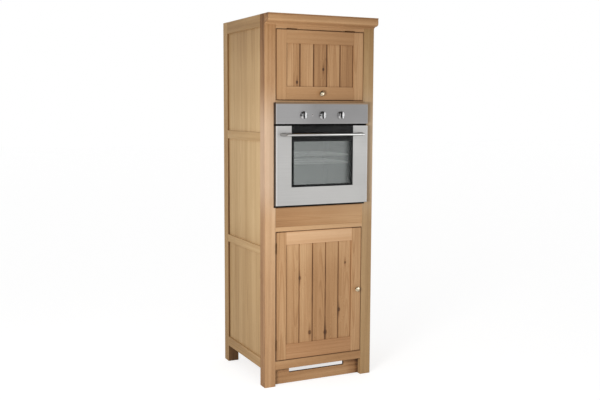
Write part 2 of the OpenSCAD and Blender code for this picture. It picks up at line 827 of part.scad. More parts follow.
module door_rails() {
    color(oak) {
        leaf_rail(door_z0, door_z0 + door_bottom_rail_h, true);
        leaf_rail(door_z1 - leaf_rail_h, door_z1, false);
    }
}

module door_boards() {
    color(pale_oak) board_row(door_z0 + door_bottom_rail_h, door_z1 - leaf_rail_h);
}

module door_knob() {
    color(nickel) translate([leaf_x - stile_w / 2, front_y, door_knob_z]) turned_knob();
}

// ---------------------------------------------------------------- catches and struts

// Magnetic catches: one on the upper floor behind the flap, one on the post behind the door
module magnet_catches() {
    color(dark) {
        block([-catch_len / 2, leaf_back_y + strike_t + run_gap, upper_z0],
              [catch_len / 2, leaf_back_y + strike_t + catch_d, upper_z0 + catch_h]);
        block([inner_x - catch_h, leaf_back_y + strike_t + run_gap, door_knob_z - catch_len / 2],
              [inner_x, leaf_back_y + strike_t + catch_d, door_knob_z + catch_len / 2]);
    }
}

module flap_strike_plate() {
    block([-strike_len / 2, leaf_back_y, flap_z0 + 0.5],
          [strike_len / 2, leaf_back_y + strike_t, flap_z0 + 0.5 + strike_w]);
}

module door_strike_plate() {
    color(steel) block([leaf_x - 0.5 - strike_w, leaf_back_y, door_knob_z - strike_len / 2],
                       [leaf_x - 0.5, leaf_back_y + strike_t, door_knob_z + strike_len / 2]);
}

// A pivot pin for a strut eye on the left side: the pin, its head and a collar on the plate
// that starts at x0
module strut_pin(x0) {
    eye_in = -strut_eye_x + eye_t / 2;
    rod_x([x0, 0, 0], strut_pin_r, eye_in + run_gap + strut_head_t - x0);
    rod_x([x0, 0, 0], strut_pin_r + 2, -strut_eye_x - eye_t / 2 - run_gap - x0);
    rod_x([eye_in + run_gap, 0, 0], strut_pin_r + 2, strut_head_t);
}

// Plates on the packing blocks, with the pins for the cylinders
module strut_frame_brackets() {
    color(steel) both_sides()
        translate([0, hinge_y + strut_frame_y, strut_pivot_frame_z]) {
            block([-packer_x, -strut_plate_w / 2, -strut_plate_h / 2],
                  [-packer_x + ear_t, strut_plate_w / 2, strut_plate_h / 2]);
            strut_pin(-packer_x);
        }
}

// Angle brackets on the flap's stiles, with the pins for the rods, and the flap's strike plate
module flap_brackets() {
    ear_x = -strut_eye_x - eye_t / 2 - run_gap - ear_t;
    color(steel) {
        both_sides() translate([0, hinge_y + strut_pivot_y, flap_axis_z - strut_pivot_z]) {
            base_y = leaf_back_y - hinge_y - strut_pivot_y;
            block([ear_x, base_y, -strut_plate_h / 2],
                  [ear_x + strut_plate_w - ear_t, base_y + ear_t, strut_plate_h / 2]);
            block([ear_x, base_y, -ear_h / 2], [ear_x + ear_t, ear_h / 2, ear_h / 2]);
            strut_pin(ear_x);
        }
        flap_strike_plate();
    }
}

// Moves a strut that is drawn along +Z from a pivot onto the line to the other pivot
module along_strut(from_y, from_z, to_y, to_z) {
    translate([0, hinge_y + from_y, flap_axis_z - from_z])
        rotate([atan2(from_y - to_y, from_z - to_z), 0, 0]) children();
}

// An eye at the origin, bored for its pin
module strut_eye(neck_len, neck_r) {
    difference() {
        union() {
            rod_x([-strut_eye_x - eye_t / 2, 0, 0], eye_r, eye_t);
            rod_z([-strut_eye_x, 0, eye_r - 1.5], neck_r, neck_len);
        }
        rod_x([-strut_eye_x - eye_t / 2 - overcut, 0, 0], strut_pin_r + 0.1, eye_t + 2 * overcut);
    }
}

// The cylinders: a tube closed at the pivot end, with a gland that the rod slides in
module strut_cylinders() {
    wall = 1.2;
    gland = 8;
    color(dark) both_sides()
        along_strut(strut_frame_y, strut_frame_z, strut_pivot_y, strut_pivot_z) {
            strut_eye(cylinder_start - eye_r + 2.5, 3.5);
            difference() {
                rod_z([-strut_eye_x, 0, cylinder_start], cylinder_r,
                      cylinder_end - cylinder_start);
                rod_z([-strut_eye_x, 0, cylinder_start + gland], cylinder_r - wall,
                      cylinder_end - cylinder_start - 2 * gland);
                rod_z([-strut_eye_x, 0, cylinder_end - gland - overcut], rod_r + run_gap,
                      gland + 2 * overcut);
            }
        }
}

// The rods, which start at the flap and reach into the cylinders
module strut_rods() {
    color(steel) both_sides()
        along_strut(strut_pivot_y, strut_pivot_z, strut_frame_y, strut_frame_z) {
            strut_eye(8, rod_r + 0.5);
            translate([-strut_eye_x, 0, 0]) rotate_extrude($fn = fine)
                polygon([[0, eye_r - 1], [rod_r, eye_r - 1], [rod_r, rod_len], [0, rod_len]]);
        }
}

// ---------------------------------------------------------------- oven body

// The flange plate that lies on the posts, with the mouth of the cavity
module oven_front_frame() {
    color(dark) difference() {
        block([-oven_w / 2 + 1, flange_y, oven_z0 - flange_lip],
              [oven_w / 2 - 1, front_y, oven_z1 - 1]);
        block([-cavity_x, flange_y - overcut, cavity_z0], [cavity_x, front_y + overcut, cavity_z1]);
        block([-cavity_x, flange_y - overcut, duct_z0], [cavity_x, front_y + overcut, duct_z1]);
        both_sides() for (z = [oven_z0 + fixing_from_bottom, oven_door_z1 - fixing_from_top])
            rod_y([fixing_x, flange_y - overcut, z], 2.2, flange_t + 2 * overcut);
    }
}

// The outer sheets: sides, top, base and back, each its own sheet
module oven_casing() {
    x = body_x;
    y1 = body_y1;
    z0 = oven_shelf_z;
    z1 = body_z1;
    louvre_x = -((louvres - 1) * louvre_pitch + louvre_w) / 2;
    color(steel) {
        both_sides() block([-x, front_y, z0], [-x + sheet_t, y1, z1]);
        block([-x + sheet_t, front_y, z1 - sheet_t], [x - sheet_t, y1, z1]);
        block([-x + sheet_t, front_y, z0], [x - sheet_t, y1, z0 + sheet_t]);
        difference() {
            block([-x + sheet_t, y1 - sheet_t, z0 + sheet_t],
                  [x - sheet_t, y1, z1 - sheet_t]);
            for (i = [0 : louvres - 1])
                block([louvre_x + i * louvre_pitch, y1 - sheet_t - overcut, z1 - louvre_h - 30],
                      [louvre_x + i * louvre_pitch + louvre_w, y1 + overcut, z1 - 30]);
        }
    }
}

// The enamelled cavity, open at the front
module oven_cavity() {
    t = cavity_t;
    color(dark) difference() {
        block([-cavity_x - t, front_y, cavity_z0 - t], [cavity_x + t, cavity_y1 + t, cavity_z1 + t]);
        block([-cavity_x, front_y - overcut, cavity_z0], [cavity_x, cavity_y1, cavity_z1]);
    }
}

// Wire ladders on both cavity walls: two uprights and a runner for each rack level
module oven_side_ladders() {
    color(steel) both_sides() {
        for (y = [rack_y0 + ladder_from_front, rack_y1 - ladder_from_back])
            rod_z([-ladder_x, y, cavity_z0 + ladder_foot], ladder_r,
                  cavity_z1 - ladder_head - cavity_z0 - ladder_foot);
        for (i = [0 : levels - 1])
            rod_y([-runner_x, front_y + runner_from_front,
                   level_z0 + i * level_pitch - rack_lift],
                  runner_r, rack_y1 - front_y - runner_from_front);
    }
}

// The grill element under the roof of the cavity: a tube in three hairpin bends
module oven_grill_element() {
    r = element_r;
    bend = element_bend;
    z = cavity_z1 - element_drop;
    y0 = front_y + element_from_front;
    y1 = cavity_y1 - element_from_back;
    color(dark) for (run = [-3 : 2 : 3]) {
        last = run == -3 || run == 3;
        rod_y([run * bend, y0, z], r, (last ? cavity_y1 - 0.1 : y1) - y0);
    }
    color(dark) for (x = [-2 * bend, 2 * bend])
        translate([x, y0, z]) rotate([0, 0, 180])
            rotate_extrude(angle = 180, $fn = fine) translate([bend, 0]) circle(r);
    color(dark) translate([0, y1, z])
        rotate_extrude(angle = 180, $fn = fine) translate([bend, 0]) circle(r);
}

// The box at the back of the oven where the supply enters, with its round inlet
module oven_terminal_box() {
    x1 = body_x - terminal_in;
    z0 = oven_shelf_z + terminal_up;
    color(dark) difference() {
        block([x1 - terminal_w, body_y1, z0], [x1, body_y1 + terminal_d, z0 + terminal_h]);
        rod_z([x1 - terminal_w / 2, body_y1 + terminal_d / 2, z0 - overcut], inlet_r, 20);
    }
}

module oven_door_seal() {
    out = 9;
    color(dark) difference() {
        block([-cavity_x - out, flange_y - seal_t, cavity_z0 - out],
              [cavity_x + out, flange_y, cavity_z1 + out]);
        block([-cavity_x - 3, flange_y - seal_t - overcut, cavity_z0 - 3],
              [cavity_x + 3, flange_y + overcut, cavity_z1 + 3]);
    }
}

// A rack: side wires on the runners, cross wires, and thin wires from front to back
module rack(level) {
    z = level_z0 + level * level_pitch;
    pitch = 2 * rack_x / (rack_wires + 1);
    wire_r = 1.6;
    both_sides() rod_y([-rack_x, rack_y0, z], rack_r, rack_y1 - rack_y0);
    for (y = [rack_y0 + 6, (rack_y0 + rack_y1) / 2, rack_y1 - 6])
        rod_x([-rack_x, y, z], rack_r - 0.5, 2 * rack_x);
    for (i = [1 : rack_wires])
        rod_y([-rack_x + i * pitch, rack_y0 + 3, z + rack_r - 0.2], wire_r,
              rack_y1 - rack_y0 - 6);
}

module oven_rack_lower() { color(steel) rack(2); }
module oven_rack_upper() { color(steel) rack(3); }

// ---------------------------------------------------------------- oven front

// The control panel: a tray of thin sheet, pierced for the three spindles and the lamp
module oven_fascia() {
    x = oven_w / 2;
    color(steel) difference() {
        block([-x, oven_y, fascia_z0], [x, flange_y, oven_z1]);
        block([-x + skin_t, oven_y + skin_t, fascia_z0 + skin_t],
              [x - skin_t, flange_y + overcut, oven_z1 - skin_t]);
        for (i = [-1 : 1])
            rod_y([control_mid_x + i * control_pitch, oven_y - overcut, control_z],
                  shaft_r + run_gap, skin_t + 2 * overcut);
        rod_y([lamp_x, oven_y - overcut, control_z + 2], lamp_r + fit, skin_t + 2 * overcut);
    }
}

// The black strip between the control panel and the door, pierced for the cooling air
module oven_vent_grille() {
    x = oven_w / 2 - 4;
    slots = 22;
    pitch = 2 * x / slots;
    y0 = oven_y + 12;
    color(dark) difference() {
        block([-x, y0, oven_door_z1 + 1], [x, flange_y, fascia_z0 - fit]);
        for (i = [0 : slots - 1])
            block([-x + i * pitch + 4, y0 - overcut, oven_door_z1 + 3.5],
                  [-x + (i + 1) * pitch - 4, flange_y + overcut, fascia_z0 - 3.5]);
    }
}

// Switch bodies behind the control panel, bored for the spindles
module oven_switches() {
    color(dark) for (i = [-1 : 1])
        translate([control_mid_x + i * control_pitch, oven_y + skin_t, control_z]) difference() {
            block([-switch_w / 2, 0, -switch_w / 2], [switch_w / 2, switch_d, switch_w / 2]);
            rod_y([0, -overcut, 0], shaft_r + run_gap, shaft_len);
        }
}

module oven_pilot_lamp() {
    color("orange") translate([lamp_x, oven_y, control_z + 2]) {
        rod_y([0, -2, 0], lamp_r, 12);
        rod_y([0, -1, 0], lamp_r + 1.5, 1);
    }
}

// A control knob: a bevelled skirt and a tall oval grip, on its spindle
module control_knob(i) {
    color(steel) translate([control_mid_x + i * control_pitch, oven_y - 0.5, control_z])
        rotate([90, 0, 0]) {
            rotate_extrude($fn = fine)
                polygon([[0, 0], [skirt_r, 0], [skirt_r, 3], [skirt_r - 2.5, 6.5], [0, 6.5]]);
            hull() {
                translate([0, 0, 6]) linear_extrude(1) scale([13, 20.5]) circle(1, $fn = 40);
                translate([0, 0, control_h - 1]) linear_extrude(1) scale([8, 18.5])
                    circle(1, $fn = 40);
            }
            translate([0, 0, -shaft_len + 1]) cylinder(r = shaft_r, h = shaft_len, $fn = fine);
        }
}

module oven_knob_left() { control_knob(-1); }
module oven_knob_middle() { control_knob(0); }
module oven_knob_right() { control_knob(1); }

// Hinge arms that reach from the flange into the slots of the oven door
module oven_hinge_arms() {
    color(steel) both_sides() difference() {
        union() {
            rod_x([-arm_x - arm_t / 2, oven_axis_y, oven_axis_z], arm_boss_r, arm_t);
            block([-arm_x - arm_t / 2, oven_axis_y, oven_axis_z - 4],
                  [-arm_x + arm_t / 2, flange_y, oven_axis_z + 4]);
        }
        rod_x([-arm_x - arm_t, oven_axis_y, oven_axis_z], arm_pin_r + 0.1, 2 * arm_t);
    }
}

// The steel skin of the oven door: a tray with an open window that runs out at the top
module oven_door_panel() {
    x = oven_w / 2;
    color(steel) difference() {
        block([-x, oven_y, oven_z0], [x, oven_door_y1, oven_door_z1]);
        block([-x + skin_t, oven_y + skin_t, oven_z0 + skin_t],
              [x - skin_t, oven_door_y1 + overcut, oven_door_z1 - skin_t]);
        block([-glass_x - fit, oven_y - overcut, glass_z0 - fit],
              [glass_x + fit, oven_door_y1 + overcut, oven_door_z1 + overcut]);
        both_sides() block([-arm_x - arm_slot, oven_axis_y - 7.5, oven_z0 - overcut],
                           [-arm_x + arm_slot, oven_door_y1 + overcut, oven_z0 + skin_t + overcut]);
    }
}

// The black inner frame: the back plate, the box round the window and the hinge pins
module oven_door_inner_frame() {
    x = oven_w / 2 - skin_t - fit;
    z0 = oven_z0 + skin_t + fit;
    z1 = oven_door_z1 - skin_t - fit;
    plate_y = oven_door_y1 - 2;
    tube_y = oven_y + glass_t + 2 * fit;
    color(dark) {
        difference() {
            union() {
                block([-x, plate_y, z0], [x, oven_door_y1, z1]);
                block([-glass_x - 2, tube_y, glass_z0 - 2], [glass_x + 2, plate_y, z1]);
            }
            block([-glass_x + 4, tube_y - overcut, glass_z0 + 4],
                  [glass_x - 4, plate_y, z1 - 6]);
            block([-view_x, plate_y - overcut, view_z0],
                  [view_x, oven_door_y1 + overcut, view_z1]);
            both_sides() block([-arm_x - arm_slot, plate_y - overcut, z0 - overcut],
                               [-arm_x + arm_slot, oven_door_y1 + overcut, oven_axis_z + 7.5]);
        }
        both_sides() for (side = [-1, 1])
            block([-arm_x + side * (arm_slot + 1.5) - 1.5, oven_axis_y - 7, z0],
                  [-arm_x + side * (arm_slot + 1.5) + 1.5, plate_y + 0.5, oven_axis_z + 7]);
        both_sides() rod_x([-arm_x - arm_slot - 2, oven_axis_y, oven_axis_z], arm_pin_r,
                           2 * arm_slot + 4);
    }
}

// The outer pane in the steel skin, and the inner pane against the back plate
module oven_door_glass() {
    plate_y = oven_door_y1 - 2;
    color([0.3, 0.32, 0.32, 0.6]) {
        block([-glass_x, oven_y + fit, glass_z0], [glass_x, oven_y + fit + glass_t, oven_door_z1]);
        block([-glass_x + 5, plate_y - glass_t, glass_z0 + 5],
              [glass_x - 5, plate_y, oven_door_z1 - skin_t - 8]);
    }
}

// The bar handle, carried by a bracket at each end
module oven_door_handle() {
    color(steel) {
        rod_x([-handle_len / 2, handle_y, handle_z], handle_d / 2, handle_len);
        both_sides() hull() {
            block([-handle_len / 2 - 20, oven_y - 3, handle_z - 10],
                  [-handle_len / 2 - 20 + bracket_w, oven_y, handle_z + 10]);
            translate([-handle_len / 2 + 1, handle_y, handle_z]) rotate([0, 90, 0])
                cylinder(r = handle_d / 2 - 1, h = 16, $fn = 32);
        }
    }
}

front_left_post();
front_right_post();
back_left_post();
back_right_post();
left_side_rails();
right_side_rails();
side_panels();
back_rails();
back_panels();
front_top_rail();
front_middle_rail();
front_bottom_rail();
oven_apron();
plinth_board();
cornice();
top_board();
upper_floor();
oven_shelf();
lower_floor();
floor_bearers();
loose_shelf();
shelf_pins();
hinge_frame_leaves();
strut_frame_brackets();
magnet_catches();
oven_front_frame();
oven_casing();
oven_cavity();
oven_side_ladders();
oven_grill_element();
oven_terminal_box();
oven_door_seal();
oven_fascia();
oven_vent_grille();
oven_switches();
oven_pilot_lamp();
oven_hinge_arms();
flap_stiles();
flap_rails();
flap_boards();
flap_knob();
flap_hinge_leaves();
flap_brackets();
strut_cylinders();
strut_rods();
door_stiles();
door_rails();
door_boards();
door_knob();
door_hinge_leaves();
door_strike_plate();
oven_door_panel();
oven_door_inner_frame();
oven_door_glass();
oven_door_handle();
oven_knob_left();
oven_knob_middle();
oven_knob_right();
oven_rack_lower();
oven_rack_upper();
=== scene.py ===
# %% [markdown]
# # A tall oak oven housing
#
# This lesson dresses a kitchen unit: a framed oak housing with a lift-up flap, a built-in oven
# and a hinged door. The solids come from a CAD model, which stays exactly where it is. Blender
# adds the finishes, the small hardware and the light.

# %% The frame
import math

import bmesh
import bpy
from mathutils import Matrix, Vector


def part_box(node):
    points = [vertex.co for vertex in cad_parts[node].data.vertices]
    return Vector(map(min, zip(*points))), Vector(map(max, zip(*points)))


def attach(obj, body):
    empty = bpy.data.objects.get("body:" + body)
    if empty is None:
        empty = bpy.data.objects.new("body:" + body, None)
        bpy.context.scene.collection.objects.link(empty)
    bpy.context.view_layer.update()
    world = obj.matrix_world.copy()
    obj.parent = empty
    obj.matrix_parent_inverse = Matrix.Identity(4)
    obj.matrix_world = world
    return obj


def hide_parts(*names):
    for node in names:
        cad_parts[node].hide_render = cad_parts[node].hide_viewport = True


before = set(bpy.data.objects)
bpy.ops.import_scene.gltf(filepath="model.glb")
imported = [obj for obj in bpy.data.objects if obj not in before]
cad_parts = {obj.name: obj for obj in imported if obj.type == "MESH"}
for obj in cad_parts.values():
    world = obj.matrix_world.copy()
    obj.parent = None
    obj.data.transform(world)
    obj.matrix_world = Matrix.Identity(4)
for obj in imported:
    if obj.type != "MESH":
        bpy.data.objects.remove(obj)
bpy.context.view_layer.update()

scene = bpy.context.scene

# %% [markdown]
# ## The places that everything else is measured from
#
# A fitter measures from the faces of the posts and of the oven, and so does this script. The
# CAD boxes give those faces. What a box can't tell, such as how light a board is or where a
# knot lies, was read from the photograph and is given as a number. FRONT is the face of
# the posts, and OVEN_FACE is the face of the oven door and of its panel.

# %% Faces and sizes
oven_low, oven_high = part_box("oven_door_panel")
fascia_low, fascia_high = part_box("oven_fascia")
boards_low, boards_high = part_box("door_boards")

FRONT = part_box("front_left_post")[0].y
GROOVE_REACH = 0.0098  # the outer boards reach this far into the grooves of the stiles
PANEL_HALF = (boards_high.x - boards_low.x) / 2 - GROOVE_REACH
BOARD_W = 2 * PANEL_HALF / 5
OPENING_HALF = 0.285  # half the clear width between the front posts
UNIT_HALF = 0.353  # half the width over the posts
OVEN_FACE = oven_low.y
print("front of the posts", round(FRONT, 4), "face of the oven", round(OVEN_FACE, 4))
print("half width of the boarded field", round(PANEL_HALF, 4), "one board", round(BOARD_W, 4))

# %% [markdown]
# ## The camera
#
# The photograph was taken from the left and from about shoulder height. The camera's place and
# turn were solved from the unit's own straight edges, so they are plain numbers here. The
# matrix is written from the three directions of the view, because that keeps the small roll of
# a hand-held shot.

# %% Camera
CAMERA_PLACE = Vector((-2.2412, -4.6958, 1.6275))
YAW, PITCH, ROLL = (math.radians(a) for a in (25.587, -6.193, 0.228))
LENS, SENSOR = 50.71, 36  # millimetres

ahead = Vector((math.sin(YAW) * math.cos(PITCH), math.cos(YAW) * math.cos(PITCH),
                math.sin(PITCH)))
level = Vector((math.cos(YAW), -math.sin(YAW), 0))
upward = level.cross(ahead)
right = math.cos(ROLL) * level + math.sin(ROLL) * upward
top = math.cos(ROLL) * upward - math.sin(ROLL) * level

camera = bpy.data.objects.new("camera", bpy.data.cameras.new("camera"))
camera.matrix_world = Matrix((*zip(right, top, -ahead, CAMERA_PLACE), (0, 0, 0, 1)))
camera.data.lens, camera.data.sensor_width = LENS, SENSOR
scene.collection.objects.link(camera)
scene.camera = camera
print("camera looks along", [round(c, 3) for c in ahead])

# %% [markdown]
# ## Short words for node trees
#
# Every finish below is a tree of shader nodes. Written out in full, a tree is mostly the same
# three actions: add a node, set its sockets, join two sockets. These helpers say that in one
# line each. A Flow is a value on its way through a tree. It takes plus, minus, times and
# divide, and each sign adds one Math node, so that a tree reads like the sum it works out.

# %% Helpers for nodes
class Flow:
    """A value on its way through a node tree, which can be reckoned with like a number."""

    def __init__(self, socket):
        self.socket, self.tree = socket, socket.id_data


def sign_of(operation):
    """What a sign does with the value on its left, and with the value on its right."""
    return (lambda self, other: calc(operation, self, other),
            lambda self, other: calc(operation, other, self))


Flow.__add__, Flow.__radd__ = sign_of("ADD")
Flow.__sub__, Flow.__rsub__ = sign_of("SUBTRACT")
Flow.__mul__, Flow.__rmul__ = sign_of("MULTIPLY")
Flow.__truediv__, Flow.__rtruediv__ = sign_of("DIVIDE")


def feed(made, inputs):
    """Fills a node's sockets. A flow is linked in, and anything else is written there."""
    for key, value in inputs.items():
        if isinstance(value, Flow):
            value.tree.links.new(value.socket, made.inputs[key])
        else:
            made.inputs[key].default_value = value


def node(tree, kind, inputs=None, **settings):
    """Adds a node with its settings, and fills its sockets."""
    made = tree.nodes.new(kind)
    for key, value in settings.items():
        setattr(made, key, value)
    feed(made, inputs or {})
    return made


def flow(tree, kind, inputs=None, output=0, **settings):
    """Adds a node and returns what comes out of it."""
    return Flow(node(tree, kind, inputs, **settings).outputs[output])


def reckon(kind, operation, values):
    """Adds a node that works with values, in the tree of the first flow among them."""
    tree = next(value.tree for value in values if isinstance(value, Flow))
    return flow(tree, kind, dict(enumerate(values)), operation=operation)


def calc(operation, *values):
    """A Math node's result."""
    return reckon("ShaderNodeMath", operation, values)


def vector(operation, *values):
    """A Vector Math node's vector result."""
    return reckon("ShaderNodeVectorMath", operation, values)


def least(first, *others):
    """The smallest of some flows."""
    for other in others:
        first = calc("MINIMUM", first, other)
    return first


def split(place):
    """The x, y and z of a place."""
    return [Flow(part) for part in node(place.tree, "ShaderNodeSeparateXYZ", {0: place}).outputs]


def joined(tree, x=0.0, y=0.0, z=0.0):
    """A place from its x, y and z."""
    return flow(tree, "ShaderNodeCombineXYZ", {0: x, 1: y, 2: z})


def given_to(group):
    """The inputs of a group, by name."""
    return {socket.name: Flow(socket) for socket in group.nodes.new("NodeGroupInput").outputs}


print("helpers for nodes:", [helper.__name__ for helper in (feed, node, flow, calc, vector, least,
                                                           split, joined, given_to)])

# %% [markdown]
# ## Colours and noise
#
# A finish is a colour, a roughness and a fine bump that all change over the surface. Noise
# makes them change by chance, a ramp makes them change by a list, and a smooth step gives a
# soft border between two of them.

# %% Helpers for finishes
def mixed(share, first, second):
    """Goes from one colour to another."""
    first, second = (c if isinstance(c, Flow) else (*c, 1) for c in (first, second))
    return flow(share.tree, "ShaderNodeMix", {0: share, 6: first, 7: second}, 2,
                data_type="RGBA")


def smooth_step(value, low, high, out_low=0.0, out_high=1.0):
    """Runs softly from one number to another while the value goes from low to high."""
    return flow(value.tree, "ShaderNodeMapRange",
                {"Value": value, "From Min": low, "From Max": high, "To Min": out_low,
                 "To Max": out_high}, interpolation_type="SMOOTHSTEP")


def colours(value, stops, interpolation="LINEAR"):
    """A colour ramp. Each stop is a place and a colour."""
    ramp = node(value.tree, "ShaderNodeValToRGB", {"Fac": value})
    ramp.color_ramp.interpolation = interpolation
    elements = ramp.color_ramp.elements
    while len(elements) < len(stops):
        elements.new(0.5)
    for element, (place, colour) in zip(elements, stops):
        element.position = place
        element.color = (*colour, 1)
    return Flow(ramp.outputs["Color"])


def follow(value, stops, interpolation="EASE"):
    """A number that changes along a value: (place, number) pairs, each number from -1 to 3."""
    start, end = stops[0][0], stops[-1][0]
    ramp = [((at - start) / (end - start), ((number + 1) / 4,) * 3) for at, number in stops]
    return colours((value - start) / (end - start), ramp, interpolation) * 4.0 - 1.0


def noise(place, scale, detail=2.0, roughness=0.5):
    """Cloudy noise from 0 to 1. A scale of three numbers stretches it."""
    if isinstance(scale, tuple):
        place, scale = vector("MULTIPLY", place, scale), 1.0
    return flow(place.tree, "ShaderNodeTexNoise", {"Vector": place, "Scale": scale,
                                                   "Detail": detail, "Roughness": roughness},
                "Fac")


def bump(height, strength, distance):
    """The lean of a surface that is this uneven."""
    return flow(height.tree, "ShaderNodeBump", {"Height": height, "Strength": strength,
                                                "Distance": distance})


def linear(red, green, blue):
    """A colour given as it is seen on screen, 0 to 255, turned into the light that it means."""
    return tuple(((c / 255 + 0.055) / 1.055) ** 2.4 for c in (red, green, blue))


def new_material(name):
    """An empty finish: the material, its surface shader and the place that it colours."""
    material = bpy.data.materials.new(name)
    material.use_nodes = True
    surface = material.node_tree.nodes["Principled BSDF"]
    return material, surface, flow(material.node_tree, "ShaderNodeTexCoord", output="Object")


def dress(material, *names):
    """Gives CAD nodes a finish. Their shape and place stay as they are."""
    for name in names:
        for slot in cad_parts[name].material_slots:
            slot.material = material


print("mid oak in light:", [round(c, 3) for c in linear(187, 145, 104)])

# %% [markdown]
# ## How oak is drawn
#
# Oak is ring-porous: each year leaves a band of open pores and a band of dense, darker wood.
# A board shows straight lines where it is cut across the rings and long arches where it is cut
# along them. A flat picture of grain can't do both, so this group works in the solid. It
# measures how far a point is from the heart of its own tree, and turns that distance into
# rings. Every board gets its own tree, by a random number for the cell that it lies in.

# %% The oak group
def build_oak_group():
    """Oak whose grain runs along Z: how light it is, and how its surface rises and falls."""
    group = bpy.data.node_groups.new("oak_grain", "ShaderNodeTree")
    for label, kind, start in (("Place", "NodeSocketVector", (0, 0, 0)),
                               ("Board", "NodeSocketVector", (1, 1, 10)),
                               ("Seed", "NodeSocketFloat", 0.0),
                               ("Swirl", "NodeSocketFloat", 0.0)):
        group.interface.new_socket(label, in_out="INPUT", socket_type=kind).default_value = start
    for label in ("Tone", "Height"):
        group.interface.new_socket(label, in_out="OUTPUT", socket_type="NodeSocketFloat")
    given = given_to(group)
    place, board = given["Place"], given["Board"]

    # half a board length is added along the grain, so that no piece is cut at its middle
    lengthwise = vector("MULTIPLY", board, (0.0, 0.0, 0.5))
    cell = vector("FLOOR", vector("DIVIDE", vector("ADD", place, lengthwise), board))
    chance = node(group, "ShaderNodeTexWhiteNoise", {"Vector": cell, "W": given["Seed"]},
                  noise_dimensions="4D")
    shift = Flow(chance.outputs["Color"])
    luck = split(shift)
    own = vector("ADD", place, vector("MULTIPLY", shift, (7.0, 7.0, 7.0)))

    # the place as it is seen from the middle of its own board
    middle = vector("MULTIPLY", vector("ADD", cell, (0.5, 0.5, 0.0)), board)
    x, y, z = split(vector("SUBTRACT", place, middle))
    wander = noise(own, (3.0, 3.0, 0.9))
    # the heart of its tree lies up to 6 cm from there along x, and 1.5 to 6.5 cm along y
    across = x - (luck[0] * 0.12 - 0.06) + wander * 0.05
    through = y + (luck[1] * 0.05 + 0.015)
    taper = luck[2] * 0.05 - 0.025
    radius = calc("SQRT", across * across + through * through) + z * taper + given["Swirl"]
    rings_per_metre = 230.0
    season = calc("FRACT", radius * rings_per_metre + noise(own, (14.0, 14.0, 1.6)) * 2.2)
    late = smooth_step(season, 0.35, 0.85) * smooth_step(season, 0.9, 1.0, 1.0, 0.0)
    early = smooth_step(season, 0.0, 0.3, 1.0, 0.0)

    broad = noise(own, (7.0, 7.0, 0.7), 1.0)
    streak = noise(own, (55.0, 55.0, 1.3), 3.0, 0.55)
    fibre = noise(own, (900.0, 900.0, 22.0))
    pore_noise = noise(own, (1500.0, 1500.0, 60.0), 1.0)
    pores = smooth_step(pore_noise, 0.56, 0.66) * (early * 0.8 + 0.2)

    tone = broad * 0.55 + 0.22
    for part, share in ((streak, 0.50), (fibre, 0.20), (Flow(chance.outputs["Value"]), 0.16)):
        tone = tone + (part - 0.5) * share
    tone = tone - late * 0.15 - pores * 0.22
    node(group, "NodeGroupOutput", {"Tone": tone, "Height": fibre * 0.5 - pores * 0.7})
    return group


OAK = build_oak_group()
print("oak group:", len(OAK.nodes), "nodes")

# %% [markdown]
# ## A finish for each kind of oak part
#
# The unit is oiled, not stained, so all parts share one range of colours, from the brown of a
# pore to the cream of sapwood, in a few copies. The side's copy is darker and more yellow, which
# is partly painted shade, and the front left post's is bluer, which is partly painted glare. What
# differs besides is the direction of the grain and how light each board happened to be, and some
# lifts below paint light and shade. A cabinet maker lays posts, stiles and boards upright and
# rails across, so the place is turned until the grain runs along Z before the group reads it.
#
# Knots are darker and push the rings aside. The dark line in each joint between two boards is
# oil and dust that the V groove keeps.

# %% Oak colours and the finish itself
def wood_range(*shades):
    """A range from the brown of a pore to the cream of sapwood, in even looking steps."""
    return list(zip((0.0, 0.2, 0.42, 0.62, 0.82, 1.0), [linear(*shade) for shade in shades]))


def tinted(shades, tint):
    """The same range with a little more or less red, green and blue."""
    return [(place, tuple(c * t for c, t in zip(colour, tint))) for place, colour in shades]


OAK_RANGE = wood_range((78, 48, 24), (134, 92, 52), (176, 132, 88), (199, 158, 114),
                       (216, 180, 138), (232, 204, 166))
# a darker, more yellow copy: on the side it is partly painted shade, and the back posts and the
# right post use it too
SIDE_RANGE = wood_range((74, 44, 16), (124, 90, 50), (163, 127, 82), (186, 151, 105),
                        (204, 172, 126), (222, 196, 152))
# a bluer copy for the front left post, partly painted glare of the light
PALE_RANGE = tinted(OAK_RANGE, (1.0, 1.01, 1.04))
PEACH_RANGE = tinted(OAK_RANGE, (1.03, 0.99, 1.0))
# the pale colour of a painted sheen: the glare of the light on oiled wood
PAINTED_SHEEN_WHITE = (0.94, 0.92, 0.90)
CELL_LENGTH = 10  # longer than the unit, so that no piece is cut across its grain
EDGE_DUST_AND_SHADE, KNOT_DARK, JOINT_DARK = 0.42, 0.42, 0.34  # how far each pulls the tone down
print("oak colours:", len(OAK_RANGE), "in a range")


